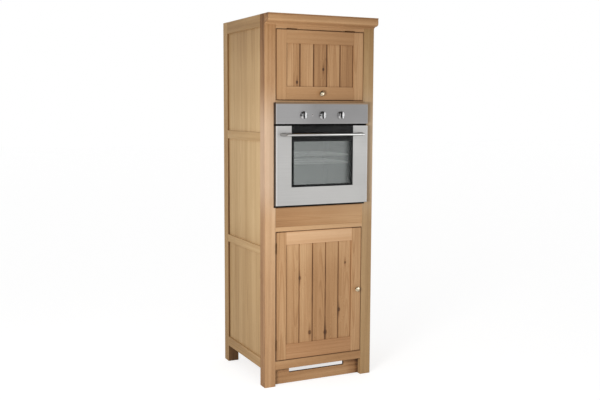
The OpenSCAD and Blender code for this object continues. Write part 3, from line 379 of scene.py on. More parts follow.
# %% The oak finish
def oak(name, grain="Z", board=(1, 1), seed=0, lift=0.0, contrast=1.0,
        colour_range=OAK_RANGE, knots=(), tones=(), joints=0, across=(), heights=(),
        edges=(), shades=(), contact_shadows=(), painted_sheen=((0, 0.015), (2.2, 0.015))):
    """Oiled oak. Board is the width and the depth of the cell that one piece of wood fills.
    Knots are (x, z, size). Tones are one for each board, left to right.
    Joints is how far the dark of a V groove reaches from its middle.
    Across and heights are lists of (x, lift) and (z, lift): the tone rises and falls along x and
    z. Some lifts are the wood's own unevenness and some are painted light and shade, as said
    where they are given.
    Edges is the outline (x0, x1, z0, z1) along which the wood is darker: oil and dust, and
    painted shade in the gap round a leaf.
    Shades are (axis, light until, dark from, depth): a step in tone across one plane, for darker
    end grain and for painted shade on a side face, in a groove and inside a slot; a negative
    depth lightens.
    Contact shadows are (x0, x1, z0, z1, depth): a painted shadow where another piece lies on the
    wood or stands in front of it.
    Painted sheen is a list of (z, share): a painted sheen, how much pale colour is mixed in where
    the light glares on the oil."""
    material, surface, place = new_material(name)
    parts = x, _, z = split(place)
    if grain != "Z":
        place = joined(place.tree, *(parts[i] for i in {"X": (2, 1, 0), "Y": (2, 0, 1)}[grain]))
    drawn = node(place.tree, "ShaderNodeGroup", node_tree=OAK)
    feed(drawn, {"Place": place, "Board": (*board, CELL_LENGTH), "Seed": seed})
    grain_tone = Flow(drawn.outputs["Tone"])

    tone = (grain_tone - 0.5) * contrast + (0.5 + lift)
    for stops, part in ((across, x), (heights, z)):
        if stops:
            tone = tone + follow(part, stops)
    # darker end grain, and painted shade on faces that the light doesn't reach
    for axis, light_until, dark_from, depth in shades:
        tone = tone - smooth_step(parts[axis], light_until, dark_from) * depth
    # painted contact shadows
    for x0, x1, z0, z1, depth in contact_shadows:
        inside = least(x - x0, x1 - x, z - z0, z1 - z)
        tone = tone - smooth_step(inside, -0.001, 0.002) * depth
    # darker along the outline: oil and dust, and painted shade of the gap
    if edges:
        nearest = least(*(calc("ABSOLUTE", part - at) for part, at in zip((x, x, z, z), edges)))
        tone = tone - smooth_step(nearest, 0.0010, 0.0060, 1.0, 0.0) * EDGE_DUST_AND_SHADE
    if tones:
        stops = [(i / len(tones), (t,) * 3) for i, t in enumerate(tones)]
        tone = tone + (colours(x * (0.5 / PANEL_HALF) + 0.5, stops, "CONSTANT") - 0.5)
    if knots:
        swirl, burn = knotted(x, z, knots)
        feed(drawn, {"Swirl": swirl})
        tone = tone - burn * KNOT_DARK
    if joints:
        beside = calc("FRACT", (x + PANEL_HALF) / BOARD_W + 0.5)
        away = calc("ABSOLUTE", beside - 0.5) * BOARD_W
        tone = tone - smooth_step(away, 0.0012, joints, 1.0, 0.0) * JOINT_DARK

    # painted sheen: a share of pale colour is mixed in along z
    feed(surface, {"Base Color": mixed(follow(z, painted_sheen), colours(tone, colour_range), PAINTED_SHEEN_WHITE),
                   "Roughness": flow(place.tree, "ShaderNodeMapRange",
                                     {"Value": grain_tone, "To Min": 0.62, "To Max": 0.46}),
                   "Normal": bump(Flow(drawn.outputs["Height"]), 0.35, 0.0006),
                   "Specular IOR Level": 0.25})
    return material


def knotted(x, z, knots):
    """How far knots push the rings aside, and how dark they are: an eye in a long flame."""
    swirl, burn = 0.0, 0.0
    for knot_x, knot_z, size in knots:
        def ring(width, height):
            a, b = (x - knot_x) / (size * width), (z - knot_z) / (size * height)
            return calc("SQRT", a * a + b * b)

        swirl = swirl + smooth_step(ring(3.4, 7.0), 0.0, 1.0, 0.05, 0.0)
        eye = smooth_step(ring(1.0, 1.6), 0.35, 1.0, 1.0, 0.0)
        flame = smooth_step(ring(0.9, 6.0), 0.1, 1.0, 0.45, 0.0)
        burn = burn + calc("MAXIMUM", eye, flame)
    return swirl, burn


print("oak finish ready")

# %% [markdown]
# ## Carcass
#
# The four posts are single lengths of wood, so each gets a tree of its own. The rails of one
# side are cut from several boards: the cell height tells them apart. The wide panels are glued
# up from narrow boards, and their cells are one board wide.

# %% Finishes of the carcass
back_post_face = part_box("back_left_post")[0].y
plinth_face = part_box("plinth_board")[0].y
# painted sheen on the front posts, strongest between 1.2 and 1.5 m
POST_SHEEN = ((0, 0.02), (0.6, 0.03), (0.95, 0.04), (1.2, 0.15), (1.5, 0.15), (1.8, 0.02),
             (2.155, 0.0))
OVEN_X0, OVEN_X1, OVEN_Z0, OVEN_Z1 = oven_low.x, oven_high.x, oven_low.z, fascia_high.z
# front left post: painted shade on its side face behind the front, lifted again on the top end
# grain; a painted contact shadow beside the oven; painted sheen, and lighter towards mid height
dress(oak("post_front_left", board=(0.638, 0.507), seed=1, contrast=0.8,
          colour_range=PALE_RANGE, painted_sheen=POST_SHEEN,
          shades=[(1, FRONT + 0.0005, FRONT + 0.003, 0.18), (2, 2.1542, 2.1549, -0.22)],
          contact_shadows=[(OVEN_X0 - 0.004, OVEN_X1, OVEN_Z0 - 0.012, OVEN_Z1, 0.30)],
          heights=[(0, 0.04), (0.6, 0.10), (0.95, 0.18), (1.2, 0.28), (1.5, 0.28), (1.8, 0.03),
                   (2.155, -0.08)]), "front_left_post")
dress(oak("post_front_right", board=(0.638, 0.507), seed=2, contrast=0.8,
          colour_range=SIDE_RANGE, painted_sheen=POST_SHEEN,
          heights=[(0, 0.02), (0.9, 0.0), (1.2, 0.10), (1.5, 0.14), (1.8, 0.03), (2.155, 0.0)]),
      "front_right_post")
# back posts: the shades paint the shade on the face that looks to the front, beside the panel and
# under the unit
dress(oak("post_back", board=(0.638, 0.677), seed=3, lift=-0.04, contrast=0.8,
          colour_range=SIDE_RANGE, heights=[(0.2, 0.0), (0.8, 0.06), (2.1, 0.17)],
          shades=[(1, back_post_face + 0.0012, back_post_face + 0.0002, 0.42)]),
      "back_left_post", "back_right_post")
dress(oak("side_rail_oak", grain="Y", board=(0.35, 0.7), seed=5, contrast=0.7,
          colour_range=SIDE_RANGE,
          heights=[(0.1, 0.08), (0.8, 0.16), (1.45, 0.24), (1.9, 0.02), (2.155, -0.02)]),
      "left_side_rails", "right_side_rails")
dress(oak("side_panel_oak", board=(0.7, 0.11), seed=6, contrast=0.7,
          colour_range=SIDE_RANGE,
          heights=[(0.15, 0.16), (0.75, 0.16), (1.0, 0.29), (1.5, 0.31), (1.8, 0.20),
                   (2.1, 0.03)]), "side_panels")
dress(oak("back_rail_oak", grain="X", board=(0.35, 0.7), seed=7), "back_rails")
dress(oak("back_panel_oak", grain="X", board=(0.11, 0.7), seed=8), "back_panels")
dress(oak("front_rail_oak", grain="X", board=(0.2, 0.6), seed=9, lift=0.04, contrast=0.7),
      "front_top_rail", "front_bottom_rail")
dress(oak("middle_rail_oak", grain="X", board=(0.2, 0.6), seed=10, lift=0.17,
          contrast=0.6), "front_middle_rail")
# apron: a painted contact shadow along its top, under the oven door
dress(oak("apron_oak", grain="X", board=(0.4, 0.6), seed=11, contrast=0.35,
          contact_shadows=[(OVEN_X0, OVEN_X1, OVEN_Z0 - 0.0175, OVEN_Z0, 0.25)],
          across=[(-OPENING_HALF, -0.15), (0.0, -0.04), (OPENING_HALF, 0.09)]), "oven_apron")
# plinth: painted shade falling to dark at its right end beside the post, and painted shade on the
# faces inside the vent slot behind its front
dress(oak("plinth_oak", grain="X", board=(0.4, 0.6), seed=12,
          across=[(-OPENING_HALF, 0.04), (0.19, 0.03), (0.25, -0.12), (OPENING_HALF, -0.40)],
          shades=[(1, plinth_face + 0.001, plinth_face + 0.004, 0.42)]), "plinth_board")
dress(oak("inside_oak", grain="X", board=(0.5, 0.09), seed=13, lift=0.1, contrast=0.7),
      "top_board", "upper_floor", "oven_shelf", "lower_floor", "loose_shelf")
dress(oak("bearer_oak", grain="Y", board=(0.2, 0.5), seed=14, lift=0.1),
      "floor_bearers")
cornice_low, cornice_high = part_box("cornice")
# cornice: the heights paint a shadow under the top fillet and at the foot, and light on the
# round; the end shades darken the end grain, partly painted shade
CORNICE_OAK = oak("cornice_oak", grain="X", board=(1.0, 1.0), seed=15, lift=0.05,
                  contrast=0.7, across=[(-UNIT_HALF, 0.02), (0.0, 0.0), (UNIT_HALF, -0.05)],
                  heights=[(cornice_low.z, -0.06), (cornice_high.z - 0.046, 0.02),
                           (cornice_high.z - 0.036, 0.10), (cornice_high.z - 0.020, 0.02),
                           (cornice_high.z - 0.009, -0.06), (cornice_high.z - 0.006, -0.20),
                           (cornice_high.z, 0.04)],
                  shades=[(0, cornice_low.x + 0.0014, cornice_low.x + 0.0002, 0.2),
                          (0, cornice_high.x - 0.0014, cornice_high.x - 0.0002, 0.2)])
print("carcass finishes:", len([m for m in bpy.data.materials if "oak" in m.name]))

# %% [markdown]
# ## Flap and door
#
# Each leaf is a frame of two stiles and two rails round five upright boards. In the photograph
# the boards of the flap differ strongly, from honey to reddish brown, and the top rail of the
# door is the palest piece of the whole unit. The knots of the door's boards are given by place.

# %% Finishes of the flap and the door
FLAP_TONES = (0.46, 0.50, 0.36, 0.49, 0.42)
DOOR_TONES = (0.49, 0.55, 0.49, 0.46, 0.48)
DOOR_KNOTS = [(-0.126, 0.634, 0.012), (-0.060, 0.300, 0.014), (0.044, 0.290, 0.015),
              (0.136, 0.420, 0.013), (0.176, 0.705, 0.009)]
FLAP_KNOTS = [(-0.149, 1.776, 0.010), (0.020, 1.852, 0.009)]


def outline(stiles):
    """The outer edges of a leaf: x from and to, z from and to."""
    low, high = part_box(stiles)
    return low.x, high.x, low.z, high.z


# the dark along each leaf's outline is oil and dust, and painted shade in the gap round the leaf
FLAP_EDGES, DOOR_EDGES = outline("flap_stiles"), outline("door_stiles")
dress(oak("flap_stile_oak", board=(0.5, 0.6), seed=21, lift=0.05, contrast=0.6,
          edges=FLAP_EDGES, across=[(-OPENING_HALF, 0.01), (OPENING_HALF, -0.07)]), "flap_stiles")
dress(oak("flap_rail_oak", grain="X", board=(0.3, 0.6), seed=22, contrast=0.5,
          edges=FLAP_EDGES, across=[(-0.28, 0.0), (0.28, -0.12)]), "flap_rails")
dress(oak("flap_board_oak", board=(BOARD_W, 0.6), seed=23, contrast=0.6,
          knots=FLAP_KNOTS, tones=FLAP_TONES, joints=0.007), "flap_boards")
dress(oak("door_stile_oak", board=(0.5, 0.6), seed=24, contrast=0.7,
          edges=DOOR_EDGES, across=[(-OPENING_HALF, -0.05), (OPENING_HALF, 0.01)]), "door_stiles")
dress(oak("door_rail_oak", grain="X", board=(0.5, 0.6), seed=25, contrast=0.5,
          colour_range=PEACH_RANGE, edges=DOOR_EDGES,
          heights=[(0.2, 0.02), (0.7, 0.22), (0.9, 0.27)]), "door_rails")
# door boards: lighter towards the top, painted light that takes away the top rail's shadow
dress(oak("door_board_oak", board=(BOARD_W, 0.6), seed=26, lift=-0.03, contrast=0.6,
          heights=[(0.2, 0.0), (0.62, 0.02), (0.85, 0.14)],
          knots=DOOR_KNOTS, tones=DOOR_TONES, joints=0.006), "door_boards")
print("knots on the door:", len(DOOR_KNOTS))

# %% [markdown]
# ## Metal
#
# Brushed steel is polished with a belt that runs along the sheet. The scratches are far finer
# than a pixel, but they make the shine uneven across the brush. Noise that is stretched very
# long along X and is very fine across it gives that, in the roughness and as a faint bump.

# %% Brushed and satin metal
def metal(name, colour, rough, brush=(3.0, 700.0, 700.0), metallic=1.0):
    """A bare metal with a brushed or a satin surface."""
    material, surface, place = new_material(name)
    brushed = noise(place, brush, 3.0)
    uneven = brushed + noise(place, 7.0, 1.0) * 0.5
    dark, light = (tuple(c * f for c in colour) for f in (0.93, 1.05))
    feed(surface, {"Base Color": colours(brushed, [(0.25, dark), (0.75, light)]),
                   "Roughness": (uneven - 0.75) * 0.16 + rough,
                   "Normal": bump(brushed, 0.25, 0.00004), "Metallic": metallic})
    return material, surface, place


def colour_of(surface):
    """The colour that a finish has so far."""
    return Flow(surface.inputs["Base Color"].links[0].from_socket)


def black_behind(made, start_y):
    """The folded edge of a front is steel, and the box behind it is painted black; this black
    also stands in for the shade on the oven's side.
    """
    material, surface, place = made
    behind = calc("GREATER_THAN", split(place)[1], start_y)
    feed(surface, {"Base Color": mixed(behind, colour_of(surface), (0.012, 0.011, 0.011)),
                   "Metallic": 1.0 - behind})
    return material


def pressed(made, low, high, left_width, across, painted_reflection_band=None):
    """A pressed sheet with painted light: a painted highlight along its rolled edges, and beside
    the
    left one a faint dark line of painted shade, as of a shallow crease. Across is a list of (x,
    light):
    a painted falloff of light along the sheet. A painted reflection band is the height at the top
    where the oak rail is painted in as a reflection, and a sheet without it turns under at the
    bottom and gets a painted shade there."""
    _, surface, place = made
    x, _, z = split(place)
    from_left = x - low.x
    others = least(z - low.z, high.z - z, high.x - x)
    to_painted_crease = calc("ABSOLUTE", from_left - (left_width + 0.0025))
    # painted highlight along the edges, painted shade along the crease line and a painted falloff
    # of light across the sheet
    light = (smooth_step(from_left, left_width - 0.002, left_width, 1.24, 1.0)
             * smooth_step(to_painted_crease, 0.0005, 0.003, 0.93, 1.0)
             * smooth_step(others, 0.004, 0.006, 1.16, 1.0)
             * follow(x, across, "LINEAR"))
    lit = flow(place.tree, "ShaderNodeVectorMath", {0: colour_of(surface), "Scale": light},
               operation="SCALE")
    # with a band: a painted reflection of the oak rail at the top; without one: painted shade
    # along the bottom edge
    if painted_reflection_band:
        painted_band_share, mirrors = smooth_step(z, high.z - painted_reflection_band, high.z - painted_reflection_band + 0.004), (140, 118, 96)
    else:
        painted_band_share, mirrors = smooth_step(z, low.z + 0.0015, low.z + 0.003, 0.8, 0.0), (50, 42, 30)
    feed(surface, {"Base Color": mixed(painted_band_share, lit, linear(*mirrors))})
    return made


print("metal helpers ready")

# %% The steels and the plated metals
# the black behind the steel edge is partly painted shade on the oven's side
EDGE_T = 0.0008  # a front's steel is this thick, and black paint begins behind it
STEEL = linear(200, 199, 197)
# both fronts: painted light, brighter at the left and falling off to the right; the panel's top
# band is a painted reflection of the oak rail
DOOR_STEEL = black_behind(
    pressed(metal("door_steel", STEEL, 0.40), oven_low, oven_high, 0.010,
            [(oven_low.x, 1.0), (0.0, 0.88), (oven_high.x, 0.74)]), OVEN_FACE + EDGE_T)
PANEL_STEEL = black_behind(
    pressed(metal("panel_steel", linear(160, 159, 159), 0.36), fascia_low, fascia_high, 0.009,
            [(fascia_low.x, 1.13), (-0.16, 1.06), (-0.05, 0.79), (0.12, 0.74),
             (fascia_high.x, 0.69)], painted_reflection_band=0.010), OVEN_FACE + EDGE_T)
NICKEL = metal("satin_nickel", linear(240, 222, 190), 0.20, (500, 500, 500))[0]
ZINC = metal("zinc_steel", linear(196, 198, 200), 0.36, (90, 90, 90))[0]
BAR_STEEL = metal("bar_steel", linear(229, 229, 229), 0.26, (4, 600, 600))[0]
RAIL_STEEL = metal("rail_steel", linear(240, 240, 238), 0.22, (4, 600, 600))[0]
# the hinge leaves are a dark bronze, darkened so that they merge with the shaded gap along the
# flap: partly painted shade
BRONZE_AND_SHADE = metal("dark_bronze", linear(92, 64, 40), 0.42, (300, 300, 300))[0]
CAST = metal("cast_bracket", linear(150, 147, 143), 0.34, (150, 150, 150), metallic=0.3)[0]
LADDER = metal("ladder_wire", linear(120, 120, 120), 0.4, (60, 60, 60))[0]
# a trace of light of its own stands for the light that a real cavity throws back on a rack
WIRE, wire_surface, _ = metal("chrome_wire", linear(246, 246, 244), 0.34, (60, 60, 60), 0.1)
feed(wire_surface, {"Emission Color": (1, 1, 1, 1), "Emission Strength": 0.10})
for finish, names in (
        (DOOR_STEEL, ["oven_door_panel"]), (PANEL_STEEL, ["oven_fascia"]),
        (NICKEL, ["shelf_pins", "door_strike_plate"]), (LADDER, ["oven_side_ladders"]),
        (BRONZE_AND_SHADE, ["hinge_frame_leaves", "flap_hinge_leaves", "door_hinge_leaves"]),
        (ZINC, ["strut_frame_brackets", "flap_brackets", "strut_rods", "oven_casing",
                "oven_hinge_arms"])):
    dress(finish, *names)
print("steel in light:", [round(c, 3) for c in STEEL])

# %% [markdown]
# ## Enamel, plastic and rubber
#
# The inside of the oven is vitreous enamel: black glass melted onto steel, with fine pale
# specks and a waviness that breaks up its shine. Moulded plastic and rubber are dull, and a
# fine noise in their bump keeps them from looking like flat paint.

# %% Dark finishes
def dark_finish(name, colour, rough, speck=0.0, grain=350.0, depth=0.0001, coat=0.0, shine=0.5):
    """Enamel, paint, moulded plastic or rubber."""
    material, surface, place = new_material(name)
    fine = noise(place, grain)
    shade = fine * 0.5
    if speck:
        shade = calc("MAXIMUM", shade, smooth_step(noise(place, 1300.0), 0.66, 0.74))
    lighter = tuple(c * 1.5 + speck for c in colour)
    feed(surface, {"Base Color": colours(shade, [(0.0, colour), (1.0, lighter)]),
                   "Roughness": (fine - 0.5) * 0.16 + rough, "Normal": bump(fine, 0.2, depth),
                   "Coat Weight": coat, "Coat Roughness": 0.08, "Specular IOR Level": shine})
    return material


ENAMEL = dark_finish("cavity_enamel", linear(44, 46, 47), 0.3, speck=0.08, coat=0.3)
BLACK_METAL = dark_finish("black_paint", linear(13, 12, 11), 0.45, shine=0.08)
PLASTIC = dark_finish("black_plastic", linear(28, 28, 29), 0.5, shine=0.3)
RUBBER = dark_finish("seal_rubber", linear(30, 30, 30), 0.78, grain=600.0)
ELEMENT = dark_finish("element_sheath", linear(92, 86, 80), 0.55, grain=120.0)
dress(ENAMEL, "oven_cavity")
dress(BLACK_METAL, "oven_front_frame", "oven_door_inner_frame", "oven_vent_grille",
      "strut_cylinders")
dress(PLASTIC, "oven_switches", "oven_terminal_box", "magnet_catches")
dress(ELEMENT, "oven_grill_element")
dress(RUBBER, "oven_door_seal")
print("dark finishes:", ENAMEL.name, BLACK_METAL.name, PLASTIC.name, RUBBER.name)

# %% [markdown]
# ## The door glass
#
# Oven doors have two panes. They are clear, and only a little light is thrown back by their
# faces. The window's grey is painted light: a thin pale film behind the outer pane stands in for
# the lit cavity and the light that the glass throws back. What makes its border black is enamel
# printed round it. So the panes get a clear finish here, and the film and the print come later as
# thin pieces of their own.

# %% Glass
glass_low, glass_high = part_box("oven_door_glass")
VIEW_LEFT, VIEW_RIGHT, VIEW_LOW, VIEW_TOP = -0.1835, 0.1935, 1.1893, 1.4375
GLASS, glass_surface, place = new_material("clear_glass")
ripple = noise(place, 9.0, 1.0)
feed(glass_surface, {"Base Color": colours(ripple, [(0.3, (0.020, 0.024, 0.022)),
                                                    (0.7, (0.028, 0.034, 0.031))]),
                     "Roughness": ripple * 0.02 + 0.03, "Alpha": 0.06})
dress(GLASS, "oven_door_glass")
print("window in the door:", VIEW_LEFT, VIEW_RIGHT, VIEW_LOW, VIEW_TOP)

# %% [markdown]
# ## Mesh helpers
#
# A turned part is a profile swept round an axis. A lofted part is a row of outlines joined
# face by face. Both helpers close the piece and point its faces outwards, so that it is a
# closed solid.

# %% Turning, lofting and placing
def finished(name, mesh, material, body, slot, *replaced, smooth=True, angle=40):
    """Puts a mesh into the scene as a piece that rides on a body."""
    piece = bpy.data.objects.new(name, mesh)
    scene.collection.objects.link(piece)
    mesh.materials.clear()
    mesh.materials.append(material)
    if smooth:
        mesh.shade_smooth()
        mesh.set_sharp_from_angle(angle=math.radians(angle))
    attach(piece, body)
    if replaced:
        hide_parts(*replaced)
    return piece


def to_mesh(work, name, place=Matrix(), solid=True):
    """Ends a bmesh, with its place written into its vertices."""
    if solid:
        bmesh.ops.recalc_face_normals(work, faces=work.faces)
    work.transform(place)
    mesh = bpy.data.meshes.new(name)
    work.to_mesh(mesh)
    work.free()
    return mesh


def turned(profile, name, place, steps=64):
    """A solid turned about Z from (radius, height) pairs."""
    work = bmesh.new()
    points = [work.verts.new((radius, 0, height)) for radius, height in profile]
    edges = [work.edges.new(pair) for pair in zip(points, points[1:])]
    bmesh.ops.spin(work, geom=points + edges, cent=(0, 0, 0), axis=(0, 0, 1),
                   angle=math.tau, steps=steps)
    bmesh.ops.remove_doubles(work, verts=work.verts, dist=1e-6)
    return to_mesh(work, name, place)


def loft(outlines, name, place=Matrix(), hollow=False):
    """Joins outlines face by face. A hollow loft goes on from the last one to the first."""
    work = bmesh.new()
    rings = [[work.verts.new(point) for point in outline] for outline in outlines]
    for one, other in zip(rings, rings[1:] + rings[:1] if hollow else rings[1:]):
        for i in range(len(one)):
            work.faces.new((one[i - 1], one[i], other[i], other[i - 1]))
    if not hollow:
        work.faces.new(rings[0])
        work.faces.new(rings[-1])
    return to_mesh(work, name, place)


def facing_front(x, y, z):
    """A place whose Z axis points out of the front of the unit."""
    return Matrix.Translation((x, y, z)) @ Matrix.Rotation(math.radians(90), 4, "X")


def centre(name):
    """The middle of a CAD node's box."""
    low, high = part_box(name)
    return (low + high) / 2


def degrees(start, end, step):
    """Angles of an arc. The end itself is left out."""
    return [math.radians(d) for d in range(start, end, step)]


def full_turn(steps):
    """Angles of a whole circle."""
    return [math.tau * i / steps for i in range(steps)]


print("the flap's knob is centred on", [round(c, 4) for c in centre("flap_knob")])

# %% [markdown]
# ## Cupboard knobs
#
# Both knobs are turned brass, plated with satin nickel: a foot, a slim neck and a domed head.
# The head is an ellipse, so it is written as one, with many steps, to give the one round
# highlight that the photograph shows.

# %% Knobs of the flap and the door
HEAD_R, HEAD_H, REACH = 0.0165, 0.009, 0.027
FOOT_R, FOOT_H = 0.00825, 0.0022
NECK_R, FLARE, NECK_H = 0.0063, 0.0014, 0.0093
knob_profile = [(0, 0), (FOOT_R, 0), (FOOT_R, 0.0015), (FOOT_R * 0.94, FOOT_H)]
knob_profile += [(NECK_R + FLARE * (1 - t), FOOT_H + NECK_H * t) for t in (0.2, 0.5, 0.8, 1)]
knob_profile += [(HEAD_R * math.cos(a), REACH - HEAD_H + HEAD_H * math.sin(a))
                 for a in degrees(-56, 90, 8)] + [(0, REACH)]
for body in ("flap", "door"):
    name, middle = "nickel_" + body + "_knob", centre(body + "_knob")
    mesh = turned(knob_profile, name, facing_front(middle.x, FRONT, middle.z))
    finished(name, mesh, NICKEL, body, "satin_nickel", body + "_knob")
    print(name, "at", round(middle.x, 4), round(middle.z, 4), len(mesh.polygons), "faces")

# %% [markdown]
# ## Cornice
#
# The cornice is one moulding. In the photograph a thin fillet runs along its top, the face
# below it rolls over into a soft round, and a step and a cove lead back to the rail. Its
# outline is lofted from one end to the other. The solid has a plainer face with a larger cove.

# %% Cornice
def cornice_outline(reach, height):
    """(y, z) from the top of the back, down the face and back under the cove."""
    round_r, round_top, cove_y, cove_top = 0.016, 0.030, 0.0215, 0.0475
    fillet = [(0, height), (0.0015 - reach, height), (0.0004 - reach, height - 0.0004),
              (-reach, height - 0.0015), (-reach, height - 0.0048),
              (0.0005 - reach, height - 0.0053), (0.0022 - reach, height - 0.0055),
              (0.0022 - reach, height - 0.0070)]
    soft_round = [(0.0012 - reach + round_r * (1 - math.cos(a)),
                   height - round_top - round_r * math.sin(a)) for a in degrees(0, 91, 6)]
    cove = [(cove_y - reach + (reach - cove_y) * math.sin(a), (height - cove_top) * math.cos(a))
            for a in degrees(0, 91, 6)]
    return fillet + soft_round + [(cove_y - reach, height - 0.0462)] + cove


profile = cornice_outline(cornice_high.y - cornice_low.y, cornice_high.z - cornice_low.z)
cornice_mesh = loft([[(x, cornice_high.y + y, cornice_low.z + z) for y, z in profile]
                     for x in (cornice_low.x, cornice_high.x)], "oak_cornice")
finished("oak_cornice", cornice_mesh, CORNICE_OAK, "housing", "oak_frame", "cornice", angle=30)
print("cornice:", len(cornice_mesh.polygons), "faces")

# %% [markdown]
# ## Control knobs of the oven
#
# Each control is a polished steel cone with a slim upright grip. The cone is the reason for the
# light and dark that the photograph shows: its left and top sides mirror the dark part of the
# room, its flat middle mirrors the light part, and the black flank of the grip stands between.
# The grip has a steel cap, and a fine black line on it marks the setting.

# %% Control knobs
def ovals(levels):
    """Outlines stacked along Z. A level is (half width, half height, z)."""
    return [[(half_x * math.cos(a), half_y * math.sin(a), z) for a in full_turn(48)]
            for half_x, half_y, z in levels]


SKIRT_R, GRIP_H, MARK_UP = 0.0225, 0.024, 0.0085
CONE = [(0, 0), (SKIRT_R - 0.0004, 0), (SKIRT_R, 0.0004), (SKIRT_R, 0.0014),
        (SKIRT_R - 0.0003, 0.0019), (0.0154, 0.0053), (0.0142, 0.0066), (0.0128, 0.0075),
        (0.0112, 0.0080), (0, 0.0080)]
BLADE = [(0.0047, 0.0192, 0.0040), (0.0047, 0.0193, 0.0090), (0.0046, 0.0192, 0.0150),
         (0.0046, 0.0190, 0.0208), (0.0044, 0.0187, 0.0214)]
CAP = [(0.0046, 0.0190, 0.0212), (0.0052, 0.0196, 0.0217), (0.0053, 0.0197, 0.0229),
       (0.0050, 0.0194, GRIP_H - 0.0003), (0.0042, 0.0186, GRIP_H)]
MARK = [(0.0006, 0.0060, GRIP_H - 0.0003), (0.0006, 0.0060, GRIP_H + 0.00004)]
SIDES = ("left", "middle", "right")
for side in SIDES:
    middle = centre("oven_knob_" + side)
    name, body = "control_cone_" + side, "knob_" + side
    place, higher = (facing_front(middle.x, OVEN_FACE - 0.0005, middle.z + up)
                     for up in (0, MARK_UP))
    finished(name, turned(CONE, name, place), BAR_STEEL, body, "control_steel",
             "oven_knob_" + side, angle=25)
    for part, levels, where, finish, slot in (
            ("blade", BLADE, place, PLASTIC, "black_plastic"),
            ("cap", CAP, place, BAR_STEEL, "control_steel"),
            ("mark", MARK, higher, PLASTIC, "black_plastic")):
        name = "control_" + part + "_" + side
        finished(name, loft(ovals(levels), name, where), finish, body, slot)
    print("control", side, "at", round(middle.x, 4), round(middle.z, 4))

# %% [markdown]
# ## Handle of the oven door
#
# The handle is a steel bar on two cast brackets. A bracket starts as a flat pad on the door
# and narrows to the round of the bar. It is lofted from a few rounded outlines.

# %% Handle bar and brackets
handle_low, handle_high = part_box("oven_door_handle")
BAR_R, BAR_HALF = 0.008, 0.249
BAR_Y, BAR_Z = handle_low.y + BAR_R, (handle_low.z + handle_high.z) / 2
rim_of_end = [(BAR_R - 0.001, 0), (BAR_R - 0.0003, 0.0003), (BAR_R, 0.001)]
bar_profile = [(0, 0), *rim_of_end,
               *((r, 2 * BAR_HALF - z) for r, z in reversed(rim_of_end)), (0, 2 * BAR_HALF)]
bar_place = (Matrix.Translation((-BAR_HALF, BAR_Y, BAR_Z))
             @ Matrix.Rotation(math.radians(90), 4, "Y"))
finished("handle_bar", turned(bar_profile, "handle_bar", bar_place, 48),
         RAIL_STEEL, "oven_door", "brushed_steel", "oven_door_handle")

# from the door to the bar: distance, centre x, half width and half height
BRACKET = [(0.0, 0.249, 0.020, 0.0100), (0.003, 0.249, 0.020, 0.0100),
           (0.0045, 0.249, 0.0190, 0.0094), (0.018, 0.2470, 0.0145, 0.0080),
           (0.032, 0.2435, 0.0105, 0.0072), (0.045, 0.2405, 0.0080, 0.0070)]
SQUARENESS = 0.45  # 1 would be an ellipse, and 0 a rectangle


def squarish(value):
    return math.copysign(abs(value) ** SQUARENESS, value)


for side, word in ((-1, "left"), (1, "right")):
    outlines = [[(side * x + half_x * squarish(math.cos(a)), OVEN_FACE - out,
                  BAR_Z + half_z * squarish(math.sin(a))) for a in full_turn(32)]
                for out, x, half_x, half_z in BRACKET]
    finished("handle_bracket_" + word, loft(outlines, "handle_bracket_" + word),
             CAST, "oven_door", "brushed_steel", angle=50)
print("handle bar at", round(BAR_Y, 4), round(BAR_Z, 4), "length", 2 * BAR_HALF)

# %% [markdown]
# ## A film of painted light, and the printed border behind the pane
#
# The print is a flat ring: an outer edge the size of the glass and an inner edge with round
# corners, where the window begins. The film fills the window, and its pale grey is painted light.
# Each is a hair thick, so that it stays a closed solid. Towards its right side the window goes
# black in the photograph, so the film's colour fades to black there, which is painted shade.

# %% Film and print
def rounded_rectangle(low_x, high_x, low_z, high_z, radius):
    """An outline of (x, z) pairs with round corners."""
    corners = ((high_x - radius, high_z - radius, 0), (low_x + radius, high_z - radius, 90),
               (low_x + radius, low_z + radius, 180), (high_x - radius, low_z + radius, 270))
    return [(cx + radius * math.cos(a), cz + radius * math.sin(a))
            for cx, cz, start in corners
            for a in (math.radians(start + 90 * i / 8) for i in range(9))]


BEHIND, SHEET_T = glass_low.y + 0.00403, 0.00008


def sheet(name, *outlines):
    """A thin sheet: one outline is filled, and two leave the window open."""
    front, back = ([[(x, y, z) for x, z in outline] for outline in outlines]
                   for y in (BEHIND, BEHIND + SHEET_T))
    return loft(front + back[::-1], name, hollow=len(outlines) == 2)


PAINTED_WINDOW_LIGHT, painted_window_surface, place = new_material("painted_window_light")
# painted light: the film's pale grey stands for the lit cavity and the glass's reflection, and it
# fades to black towards the right as painted shade
shade = (noise(place, 6.0, 1.0) * 0.2 + 0.75) * smooth_step(
    split(place)[0], VIEW_RIGHT - 0.061, VIEW_RIGHT + 0.001, 1.0, 0.06)
feed(painted_window_surface, {"Base Color": colours(shade, [(0.0, (0.004, 0.004, 0.004)),
                                                  (1.0, (0.86, 0.92, 0.90))]),
                    "Roughness": 0.5, "Alpha": 0.21, "Specular IOR Level": 0.1})
PRINT = dark_finish("glass_print_black", linear(12, 12, 13), 0.3, grain=900.0, depth=0.00002,
                    shine=0.12)
INSET = 0.0005
whole = rounded_rectangle(glass_low.x + INSET, glass_high.x - INSET, glass_low.z + INSET,
                          glass_high.z - INSET, 0.002)
window = rounded_rectangle(VIEW_LEFT, VIEW_RIGHT, VIEW_LOW, VIEW_TOP, 0.005)
for name, outlines, finish in (("glass_print", (whole, window), PRINT),
                               ("painted_window_light", (window,), PAINTED_WINDOW_LIGHT)):
    piece = finished(name, sheet(name, *outlines), finish, "oven_door", "door_glass",
                     smooth=False)
    print(name, len(piece.data.polygons), "faces")

